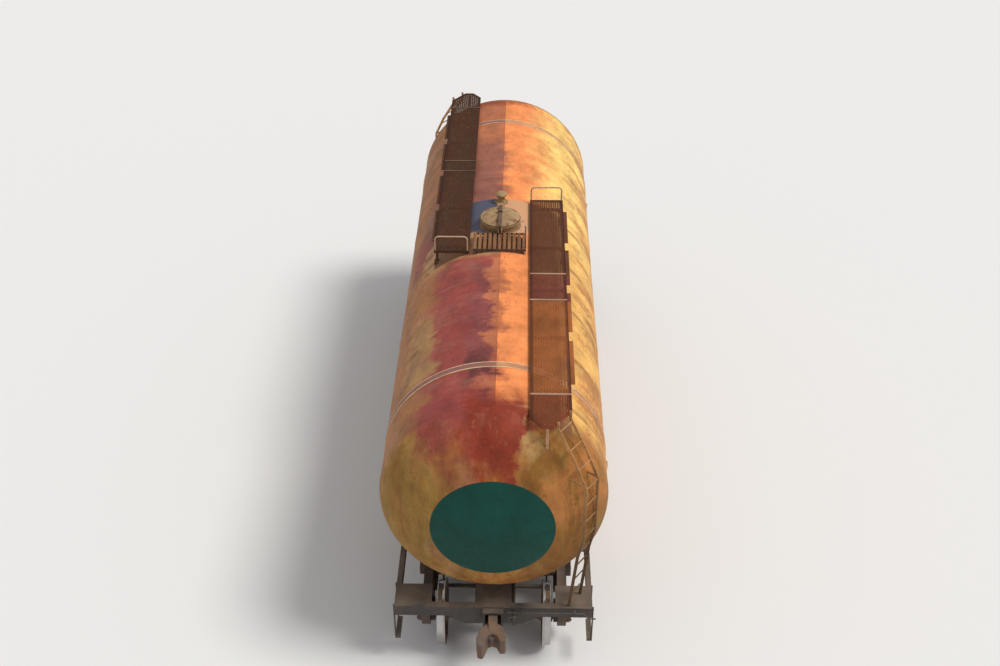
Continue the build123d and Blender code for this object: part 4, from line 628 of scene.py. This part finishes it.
bead = [(bead_w / 2 * math.cos(a), bead_h * math.sin(a)) for a in np.linspace(0, math.pi, 6)]
bead += [(-bead_w / 2, -bead_sunk), (bead_w / 2, -bead_sunk)]
shapes = []
for ring_x in (-head_start, -course_end, course_end, head_start):
    ring = []
    for a in np.linspace(0, 2 * math.pi, 181)[:-1]:
        out = Vector((0, math.sin(a), math.cos(a)))
        ring.append((Vector((ring_x, 0, tank_axis_z)) + tank_r * out, (1, 0, 0), out))
    shapes.append(swept(ring, bead, closed=True))
seam_out = Vector((0, seam_y, math.sqrt(tank_r**2 - seam_y**2))) / tank_r
for seam_from, seam_to in ((-head_start, -0.86), (-0.63, -0.43), (0.43, head_start)):
    seam = [((x, 0, tank_axis_z) + tank_r * np.array(seam_out), (0, -1, 0), seam_out)
            for x in np.linspace(seam_from, seam_to, 40)]
    shapes.append(swept(seam, bead))
welds = joined_mesh("weld_beads", *gather(*shapes), tank_paint, smooth=True)
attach(welds, "car")

# Hatch: a neck welded on the barrel and a domed lid that is hinged to it, of steel in faded cream
# paint. A clamp bar of darker steel holds the lid down.
cream_paint, dusty_cream, rust_stain = (0.46, 0.285, 0.128), (0.40, 0.245, 0.112), (0.19, 0.075, 0.032)
hatch_finish = worn_steel("hatch_paint", cream_paint, rust_stain, dusty_cream, 0.6, 0.3)
wear(hatch_finish, "hatch_lid")


def neck_finish():
    """Cream on the neck and its flange, and on the plate round its foot the plate's paint, slate as painted
    shade left of the seam and pink as painted light right of it.
    """
    plate_r, plate_top = 0.345, 4.55
    finish, shader, place = new_finish("neck_paint")
    x, y, z = axes_of(place)
    small = noise(place, 15, 8, 0.68)
    fine = noise(place, 60, 6, 0.7)
    outside = between(off_axis(x, y), plate_r - 0.005, plate_r)
    plate = product(outside, between(z, plate_top, plate_top - 0.01))
    neck = coat_over(between(fine, 0.3, 0.7), dusty_cream, cream_paint)
    # The neck is darker toward its foot.
    neck = coat_over(between(z, 4.61, 4.52, 0, 0.6), neck, rust_stain)
    colour = coat_over(plate, neck, plate_shade_and_light(y))
    colour = coat_over(between(small, 0.53, 0.66, 0, 0.8), colour, rust_stain)
    roughness = between(small, 0.4, 0.65, 0.6, 0.9)
    join_up(shader, colour, roughness, total(small, fine), 0.003)
    return finish


wear(neck_finish(), "manhole_neck")
clamp_paint, clamp_dust = (0.085, 0.043, 0.030), (0.26, 0.15, 0.09)
dark_steel = worn_steel("walkway_steel", clamp_paint, (0.19, 0.085, 0.045), clamp_dust, 0.6, 0.4, 1.5)
wear(dark_steel, "hatch_clamp")

# Lid ring: a round cord of black rubber that lies on the neck's flange all the way round. The closed
# lid presses on it, and it stays on the neck when the lid opens.
lid_seat_z, ring_r, cord_r, cord_lift = 4.638, 0.326, 0.0055, 0.001


def rubber_finish():
    """Black rubber gone grey in places, with a fine perished skin."""
    finish, shader, place = new_finish("lid_rubber")
    clouds = noise(place, 9, 5)
    skin = noise(place, 260, 6, 0.7)
    colour = coat_over(between(clouds, 0.4, 0.7), (0.010, 0.009, 0.008), (0.045, 0.041, 0.037))
    join_up(shader, colour, between(skin, 0.3, 0.7, 0.6, 0.9), skin, 0.0006)
    return finish


round_cord = [(cord_r * math.cos(a), cord_r * math.sin(a)) for a in np.linspace(0, 2 * math.pi, 9)[:-1]]
path = []
for a in np.linspace(0, 2 * math.pi, 97)[:-1]:
    out = Vector((math.cos(a), math.sin(a), 0))
    path.append((Vector((0, 0, lid_seat_z + cord_lift)) + ring_r * out, out, (0, 0, 1)))
ring_points, ring_faces = swept(path, round_cord, closed=True)
gasket = joined_mesh("lid_gasket", ring_points, ring_faces, rubber_finish(), smooth=True)
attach(gasket, "car")

# Safety valve: a round steel body behind the hatch, in the hatch's paint. Six bolts hold its flange
# down on the barrel.
wear(hatch_finish, "safety_valve")
valve_x, valve_flange_top, valve_bolt_r, valve_bolt_count = -0.745, 4.536, 0.092, 6
places = []
for along, across in bolt_ring(valve_bolt_count, valve_bolt_r):
    places.append(((valve_x + along, across, valve_flange_top), (0, 0, 1)))
hex_bolts("valve_bolts", places, 0.017, hatch_finish, "car")

# Saddles and feet: brown brackets of steel plate that stand on the frame. The barrel rests on them,
# on a strip of timber packing.
timber_t = 0.047


def saddle_finish():
    """Brown bracket paint, and grey-brown timber within the packing's thickness of the tank."""
    finish, shader, place = new_finish("saddle_steel")
    _, y, z = axes_of(place)
    from_axis = off_axis(y, less(z, tank_axis_z))
    timber = between(from_axis, tank_r + timber_t + 0.001, tank_r + timber_t)
    clouds = noise(place, 2.5, 6, 0.6)
    flecks = noise(place, 13, 9, 0.68)
    grain = noise(place, 40, 8, 0.7, (0.12, 1.0, 1.0))
    steel = coat_over(between(clouds, 0.35, 0.65), (0.075, 0.045, 0.032), (0.13, 0.075, 0.05))
    steel = coat_over(between(flecks, 0.52, 0.66), steel, (0.21, 0.09, 0.042))
    wood = coat_over(between(grain, 0.35, 0.65), (0.10, 0.075, 0.055), (0.27, 0.20, 0.14))
    colour = coat_over(timber, steel, wood)
    roughness = between(clouds, 0.3, 0.7, 0.75, 0.92)
    join_up(shader, colour, roughness, total(grain, flecks), 0.003)
    return finish


wear(saddle_finish(), "tank_saddles", "tank_feet")

# Straps: flat steel bands over the tank at the saddles, in the tank's paint, darker on their left as
# painted shade and pale along their edges as painted highlight. Rods with nuts and turnbuckles draw them
# down to the frame.
strap_w = 0.12
strap_mid_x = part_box("tank_straps")[1].x - strap_w / 2
rod_top_y, rod_top_z, rod_lean = 1.6182, tank_axis_z - 0.2853, math.radians(10)
sleeve_r, sleeve_from, sleeve_to = 0.031, 0.62, 0.79
lock_nut_t, lock_nuts_at = 0.034, (0.575, 0.80)


def strap_finish():
    """The tank's tan on the bands, darker on their left as painted shade and pale at their edges as painted
    highlight, and rust on the rods.
    """
    finish, shader, place = new_finish("strap_paint")
    x, y, z = axes_of(place)
    clouds = noise(place, 2.4, 8, 0.66)
    flecks = noise(place, 21, 8, 0.7)
    off_middle = off_mark(off_mark(x), strap_mid_x)
    edges = between(total(off_middle, product(flecks, 0.008)), 0.046, 0.058)
    tan = coat_over(between(clouds, 0.38, 0.62), (0.42, 0.16, 0.085), (0.60, 0.31, 0.13))
    pale = coat_over(between(clouds, 0.42, 0.6), (0.62, 0.42, 0.22), (0.80, 0.62, 0.36))
    band = coat_over(between(y, 0.03, 0.0), tan, (0.27, 0.105, 0.085))
    colour = coat_over(edges, band, pale)
    colour = coat_over(between(flecks, 0.56, 0.66, 0, 0.75), colour, (0.18, 0.07, 0.035))
    on_rods = between(z, tank_axis_z - 0.34, tank_axis_z - 0.40)
    colour = coat_over(on_rods, colour, (0.12, 0.06, 0.038))
    join_up(shader, colour, between(flecks, 0.4, 0.65, 0.6, 0.9), flecks, 0.003)
    return finish


strap_paint = strap_finish()
wear(strap_paint, "tank_straps")
hexagon = [(sleeve_r * math.cos(a), sleeve_r * math.sin(a)) for a in np.arange(6) * math.pi / 3]
smaller_hexagon = [(0.85 * across, 0.85 * high) for across, high in hexagon]
places, shapes = [], []
for end_sign in (1, -1):
    for side in (1, -1):
        down = Vector((0, -side * math.sin(rod_lean), -math.cos(rod_lean)))
        top = Vector((end_sign * strap_mid_x, side * rod_top_y, rod_top_z))
        places.append((top + 0.012 * down, down))
        across = Vector((0, -down.z, down.y))
        sleeve = [(top + at * down, (1, 0, 0), across) for at in (sleeve_from, sleeve_to)]
        shapes.append(swept(sleeve, hexagon))
        for at in lock_nuts_at:
            nut = [(top + (at + lift) * down, (1, 0, 0), across) for lift in (0, lock_nut_t)]
            shapes.append(swept(nut, smaller_hexagon))
hex_bolts("strap_nuts", places, 0.036, strap_paint, "car")
buckles = joined_mesh("strap_turnbuckles", *gather(*shapes), dark_steel)
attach(buckles, "car")

# Walkways: expanded steel mesh in angle frames, dark rusty brown, welded to brackets off the barrel.
# Each is one long panel with cross bars over its joints and flat strips beyond its outer edge.
deck_low, deck_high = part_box("walkway_right")
deck_in, deck_out, deck_z = deck_low.y, 1.05, deck_high.z - 0.008
deck_outline = [
    # along the car, across it
    (deck_low.x, deck_in), (5.02, deck_in), (deck_high.x, 0.64),
    (deck_high.x, 0.80), (4.87, deck_out), (deck_low.x, deck_out),
]
angle_t, angle_depth, shelf_w, shelf_top = 0.005, 0.045, 0.042, 0.013
strip_half_l, strip_top, strip_t = 0.51, 0.035, 0.006
bar_half_w, bar_sunk, bar_h = 0.017, 0.003, 0.008
deck_bars = {"right": (1.51, 2.24, 4.54), "left": (1.88, 2.27, 4.54)}
bracket_count = 5
strip_mids = [bracket_first + bracket_pitch * (k + 0.5) for k in range(bracket_count - 1)]
mesh_long, mesh_short, strand_w, strand_t = 0.075, 0.0335, 0.0105, 0.003
strand_tilt = math.radians(35)
lean = Vector((math.cos(strand_tilt), 0, -math.sin(strand_tilt)))
rise = Vector((math.sin(strand_tilt), 0, math.cos(strand_tilt)))
strand = [(-strand_w / 2, 0), (strand_w / 2, 0), (strand_w / 2, strand_t), (-strand_w / 2, strand_t)]


def prism(outline, low, high):
    """An upright block over a convex outline."""
    count = len(outline)
    points = [Vector((x, y, low)) for x, y in outline] + [Vector((x, y, high)) for x, y in outline]
    faces = [tuple(range(count - 1, -1, -1)), tuple(range(count, 2 * count))]
    faces += [(k, (k + 1) % count, count + (k + 1) % count, count + k) for k in range(count)]
    return points, faces


def rectangle(x0, x1, y0, y1):
    """Corners of a rectangle, turning left."""
    return [(x0, y0), (x1, y0), (x1, y1), (x0, y1)]


def inset(outline, distance):
    """The outline moved in by the distance, for corners that turn left all the way."""
    moved, count = [], len(outline)
    for k in range(count):
        before, here, after = (np.array(outline[(k + step) % count]) for step in (-1, 0, 1))
        first = (here - before) / np.linalg.norm(here - before)
        second = (after - here) / np.linalg.norm(after - here)
        first_in, second_in = np.array((-first[1], first[0])), np.array((-second[1], second[0]))
        corner = (first_in + second_in) / (1 + first_in @ second_in)
        moved.append(tuple(here + distance * corner))
    return moved


def rim(outer, inner, low, high):
    """A frame between two outlines of as many corners."""
    count = len(outer)
    points = [Vector((*p, h)) for h in (low, high) for loop in (outer, inner) for p in loop]
    faces = []
    for k in range(count):
        m = (k + 1) % count
        faces.append((k, m, 2 * count + m, 2 * count + k))
        faces.append((count + m, count + k, 3 * count + k, 3 * count + m))
        faces.append((2 * count + k, 2 * count + m, 3 * count + m, 3 * count + k))
        faces.append((m, k, count + k, count + m))
    return points, faces


def holds(outline, x, y):
    """Whether a point lies inside an outline that turns left."""
    for (ax, ay), (bx, by) in zip(outline, outline[1:] + outline[:1]):
        if (bx - ax) * (y - ay) - (by - ay) * (x - ax) < 0:
            return False
    return True


def half_turn(points):
    """The same points after half a turn about the middle of the car."""
    return [Vector((-p.x, -p.y, p.z)) for p in points]


def expanded_mesh(outline, top):
    """Zigzag strands across a deck, each leaning a little, so that they meet in diamonds."""
    shapes = []
    first_x, last_x = min(x for x, y in outline), max(x for x, y in outline)
    first_y, last_y = min(y for x, y in outline), max(y for x, y in outline)
    for j in range(int((last_x - first_x) / (mesh_short / 2))):
        run = []
        for k in range(int((last_y - first_y) / (mesh_long / 2)) + 1):
            x = first_x + (j + 0.75) * mesh_short / 2 + (-1) ** (j + k) * mesh_short / 4
            y = first_y + k * mesh_long / 2
            if holds(outline, x, y):
                run.append(((x, y, top - 0.008), lean, rise))
        if len(run) > 1:
            shapes.append(swept(run, strand))
    return shapes


def deck_finish():
    """Red-brown steel: darker on the left deck as painted shade, and on the right more orange panel by
    panel to the front, partly as rust and partly as painted light.
    """
    finish, shader, place = new_finish("deck_steel")
    x, y, _ = axes_of(place)
    clouds = noise(place, 2.2, 7, 0.62)
    flecks = noise(place, 19, 8, 0.7)
    colour = (0.145, 0.050, 0.024)
    # The right deck's panels: their orange is partly rust and partly painted light.
    rusty_lit_panels = ((0.200, 0.052, 0.034), (0.390, 0.124, 0.034), (0.225, 0.054, 0.020))
    for bar_x, panel in zip(deck_bars["right"], rusty_lit_panels):
        colour = coat_over(between(x, bar_x - 0.01, bar_x), colour, panel)
    # The left deck is darker as painted shade.
    colour = coat_over(between(y, 0.1, -0.1), colour, (0.070, 0.030, 0.014))
    colour = coat_over(between(clouds, 0.45, 0.7, 0, 0.5), colour, (0.085, 0.035, 0.018))
    colour = coat_over(between(flecks, 0.54, 0.68, 0, 0.7), colour, (0.22, 0.085, 0.03))
    # The angle frame along both long edges is darker than the mesh.
    off_middle = off_mark(off_mark(y), (deck_in + deck_out) / 2)
    half_w = (deck_out - deck_in) / 2
    inner_edge = between(off_middle, half_w - 0.046, half_w - 0.038, 0, 0.65)
    framed = product(inner_edge, between(off_middle, half_w + 0.004, half_w + 0.002))
    colour = coat_over(framed, colour, (0.075, 0.028, 0.018))
    join_up(shader, colour, between(clouds, 0.3, 0.7, 0.75, 0.93), flecks, 0.002)
    shader.inputs["Specular IOR Level"].default_value = 0.25
    return finish


deck_steel = deck_finish()
# The right deck's cross bars are pale as painted light.
lit_bar_paint, lit_bar_dust = (0.50, 0.27, 0.17), (0.52, 0.33, 0.2)
lit_pale_bars = worn_steel("deck_bars", lit_bar_paint, (0.22, 0.10, 0.05), lit_bar_dust, 0.35, 0.4, 1.5)
bar_finishes = {"right": lit_pale_bars, "left": dark_steel}
for side_name, bar_xs in deck_bars.items():
    shelf_out, shelf_in = inset(deck_outline, angle_t - 0.001), inset(deck_outline, shelf_w)
    shapes = [
        rim(deck_outline, inset(deck_outline, angle_t), deck_z - angle_depth, deck_z),
        rim(shelf_out, shelf_in, deck_z - shelf_top - angle_t, deck_z - shelf_top),
    ]
    for x in strip_mids:
        strip = rectangle(x - strip_half_l, x + strip_half_l, deck_out - 0.002, deck_high.y)
        shapes.append(prism(strip, deck_z - strip_top - strip_t, deck_z - strip_top))
    bars = []
    for x in bar_xs:
        bar = rectangle(x - bar_half_w, x + bar_half_w, deck_in + 0.003, deck_out - 0.003)
        bars.append(prism(bar, deck_z - bar_sunk, deck_z + bar_h))
    mesh_edge = inset(deck_outline, angle_t + 0.001)
    points, faces = gather(*shapes)
    bar_points, bar_faces = gather(*bars)
    if side_name == "left":
        points, bar_points = half_turn(points), half_turn(bar_points)
        mesh_edge = [(-x, -y) for x, y in mesh_edge]
    points, faces = gather((points, faces), *expanded_mesh(mesh_edge, deck_z))
    deck = joined_mesh(f"walkway_deck_{side_name}", points, faces, deck_steel)
    cross_bars = joined_mesh(f"walkway_bars_{side_name}", bar_points, bar_faces, bar_finishes[side_name])
    for piece in (deck, cross_bars):
        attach(piece, "car")
        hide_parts(f"walkway_{side_name}")

# Brackets: under each deck five cross angles with an outer leg and a slanting brace, on feet on the
# barrel, and a stay from the deck's tip to the head. A pair of plates with two bolts ties each outer
# leg to the lug on its foot and closes the break that the model's legs have there.
splice_low, splice_high, splice_y, splice_half_w, plate_out = 4.176, 4.283, 1.017, 0.021, 0.010
splice_bolt_zs = (splice_low + 0.014, splice_high - 0.016)


def bracket_finish():
    """The decks' dark steel on the brackets, and faded tan on the stays under the decks' tips."""
    finish, shader, place = new_finish("bracket_steel")
    x = axes_of(place)[0]
    clouds = noise(place, 3, 6, 0.6)
    flecks = noise(place, 19, 8, 0.7)
    stay = between(off_mark(x), 5.0, 5.05)
    colour = coat_over(stay, (0.085, 0.040, 0.024), (0.52, 0.29, 0.15))
    colour = coat_over(between(clouds, 0.4, 0.65, 0, 0.5), colour, (0.10, 0.045, 0.025))
    colour = coat_over(between(flecks, 0.53, 0.66, 0, 0.8), colour, (0.21, 0.082, 0.03))
    join_up(shader, colour, between(clouds, 0.3, 0.7, 0.72, 0.92), flecks, 0.002)
    return finish


bracket_steel = bracket_finish()
wear(bracket_steel, "walkway_brackets")
places, shapes = [], []
for side in (1, -1):
    for k in range(bracket_count):
        leg_x, leg_y = side * (bracket_first + bracket_pitch * k), side * splice_y
        y0, y1 = leg_y - splice_half_w, leg_y + splice_half_w
        plates = rectangle(leg_x - plate_out, leg_x + plate_out, y0, y1)
        shapes.append(prism(plates, splice_low, splice_high))
        for face in (1, -1):
            for z in splice_bolt_zs:
                places.append(((leg_x + face * plate_out, leg_y, z), (face, 0, 0)))
splices = joined_mesh("bracket_splices", *gather(*shapes), bracket_steel)
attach(splices, "car")
hex_bolts("splice_bolts", places, 0.013, bracket_steel, "car")

# Hoops: low hoops bent from steel bar, one at the inner end of each walkway. Rust shows where their
# pale paint has worn through.
hoop_paint, hoop_dust = (0.58, 0.38, 0.23), (0.62, 0.45, 0.28)
hoop_finish = worn_steel("hoop_paint", hoop_paint, (0.22, 0.10, 0.05), hoop_dust, 0.3, 0.4, 1.5)
wear(hoop_finish, "end_hoops")

# Platform: weathered boards that run along the car, in a dark steel frame before the hatch. It stands
# on the barrel on feet under its corners, and has a grab bar at its right-hand end.
platform_low, platform_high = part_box("hatch_platform")
plank_top = 4.566


def platform_finish():
    """Brown boards inside the dark frame of the platform."""
    finish, shader, place = new_finish("platform_boards")
    x, y, z = axes_of(place)
    half_w = platform_high.y - 0.012
    middle_x = (platform_low.x + platform_high.x) / 2
    half_l = (platform_high.x - platform_low.x) / 2 - 0.010
    across = between(off_mark(y), half_w, half_w - 0.002)
    along = between(off_mark(x, middle_x), half_l, half_l - 0.002)
    level = between(off_mark(z, plank_top - 0.002), 0.006, 0.004)
    grain = noise(place, 38, 8, 0.7, (0.1, 1.0, 1.0))
    clouds = noise(place, 5, 6, 0.6)
    wood = coat_over(between(grain, 0.35, 0.65), (0.125, 0.052, 0.018), (0.30, 0.132, 0.045))
    steel = coat_over(between(clouds, 0.35, 0.65), (0.05, 0.028, 0.02), (0.11, 0.058, 0.038))
    colour = coat_over(product(across, along, level), steel, wood)
    join_up(shader, colour, between(clouds, 0.3, 0.7, 0.7, 0.9), grain, 0.003)
    return finish


wear(platform_finish(), "hatch_platform")

# Ladders: flat steel stringers with round rungs, one ladder for each walkway. They are fixed to the
# walkway at the top and stand on the corner landing.


def ladder_finish():
    """Faded tan paint at the top, darker toward the foot."""
    finish, shader, place = new_finish("ladder_steel")
    z = axes_of(place)[2]
    clouds = noise(place, 2.5, 6, 0.6)
    flecks = noise(place, 17, 8, 0.7)
    colour = coat_over(between(z, 3.9, 2.2), (0.56, 0.28, 0.095), (0.10, 0.060, 0.024))
    colour = coat_over(between(clouds, 0.42, 0.68, 0, 0.55), colour, (0.13, 0.058, 0.026))
    colour = coat_over(between(flecks, 0.53, 0.66, 0, 0.8), colour, (0.20, 0.080, 0.032))
    join_up(shader, colour, between(clouds, 0.3, 0.7, 0.7, 0.92), flecks, 0.002)
    return finish


wear(ladder_finish(), "ladder_right", "ladder_left")

# End-beam bolts: rows of steel bolts hold the striker box and the corner landings to the end beams,
# in the frame's paint. One row is left out where the uncoupling rod passes.
beam_face_x, rod_y, rod_clear = 5.4, 0.3, 0.07
striker_ys, striker_zs = (-0.245, -0.195, 0.195, 0.245), (0.95, 1.09, 1.20)
landing_ys, landing_zs = (0.70, 0.80, 1.28, 1.38), (1.10, 1.20)
places = []
for end_sign in (1, -1):
    for y in striker_ys:
        for z in striker_zs:
            if abs(y - end_sign * rod_y) > rod_clear:
                places.append(((end_sign * beam_face_x, y, z), (end_sign, 0, 0)))
    for y in landing_ys:
        for side in (1, -1):
            for z in landing_zs:
                places.append(((end_sign * beam_face_x, side * y, z), (end_sign, 0, 0)))
hex_bolts("end_beam_bolts", places, 0.015, frame_finish, "car")

# Outlet, brake gear and uncoupling rods: castings, pipes and bars of steel, all in black paint under
# grime. The outlet hangs from the barrel, and the rest is fixed to the frame and the end beams. The
# brake cylinder's cover is bolted on.
cylinder_lid, cylinder_bolt_r, cylinder_bolt_count = Vector((1.554, 0.52, 0.878)), 0.187, 8
wear(brake_finish, "bottom_outlet", "outlet_cap", "brake_cylinder", "air_reservoir")
wear(brake_finish, "brake_pipe", "brake_rods", "hand_brake", "uncoupling_rods")
places = []
for across, up in bolt_ring(cylinder_bolt_count, cylinder_bolt_r):
    places.append((cylinder_lid + Vector((0, across, up)), (1, 0, 0)))
hex_bolts("cylinder_bolts", places, 0.014, brake_finish, "car")

# Floor and light: a plain pale floor under a wide soft lamp and an even pale sky. The sky lights the
# car softly, and looks paler where it is seen or mirrored.
floor_half = 400.0
corners = [(-1, -1), (1, -1), (1, 1), (-1, 1)]
floor_mesh = bpy.data.meshes.new("floor")
floor_mesh.from_pydata([(floor_half * x, floor_half * y, 0) for x, y in corners], [], [(0, 1, 2, 3)])
floor = bpy.data.objects.new("floor", floor_mesh)
bpy.context.scene.collection.objects.link(floor)
pale_floor, shader, _ = new_finish("pale_floor")
shader.inputs["Base Color"].default_value = (0.80, 0.79, 0.77, 1)
shader.inputs["Roughness"].default_value = 0.9
floor_mesh.materials.append(pale_floor)

world = bpy.data.worlds.new("sky")
world.use_nodes = True
sky = world.node_tree
rays = shader_node(sky, "LightPath").outputs
mirrored = sums("MAXIMUM", rays["Is Glossy Ray"], rays["Is Transmission Ray"])
seen = sums("MAXIMUM", rays["Is Camera Ray"], mirrored)
sky.nodes["Background"].inputs["Color"].default_value = (0.95, 0.96, 1.0, 1)
sky.links.new(between(seen, 0, 1, 0.5, 0.8), sky.nodes["Background"].inputs["Strength"])
bpy.context.scene.world = world

lamp = bpy.data.lights.new("key_lamp", "SUN")
lamp.energy, lamp.angle, lamp.color = 2.2, math.radians(20), (1.0, 0.985, 0.96)
holder = bpy.data.objects.new("key_lamp", lamp)
holder.rotation_mode = "QUATERNION"
holder.rotation_quaternion = Vector((-0.1, -0.55, -0.83)).to_track_quat("-Z", "Y")
bpy.context.scene.collection.objects.link(holder)

# Camera: it stands where the photograph was taken from. It is turned to the car, and its lens draws
# the car closer.
camera_at, look_at = Vector((17.487, 0.336, 14.652)), Vector((0.35, 0.0, 2.55))
lens_px, frame_px = 1215, 1000
eye = bpy.data.cameras.new("camera")
eye.sensor_width = 36.0
eye.lens = lens_px / frame_px * eye.sensor_width
eye.clip_end = 500
camera = bpy.data.objects.new("camera", eye)
camera.location = camera_at
camera.rotation_mode = "QUATERNION"
camera.rotation_quaternion = (look_at - camera_at).to_track_quat("-Z", "Y")
bpy.context.scene.collection.objects.link(camera)
bpy.context.scene.camera = camera
bpy.context.scene.view_settings.view_transform = "Standard"
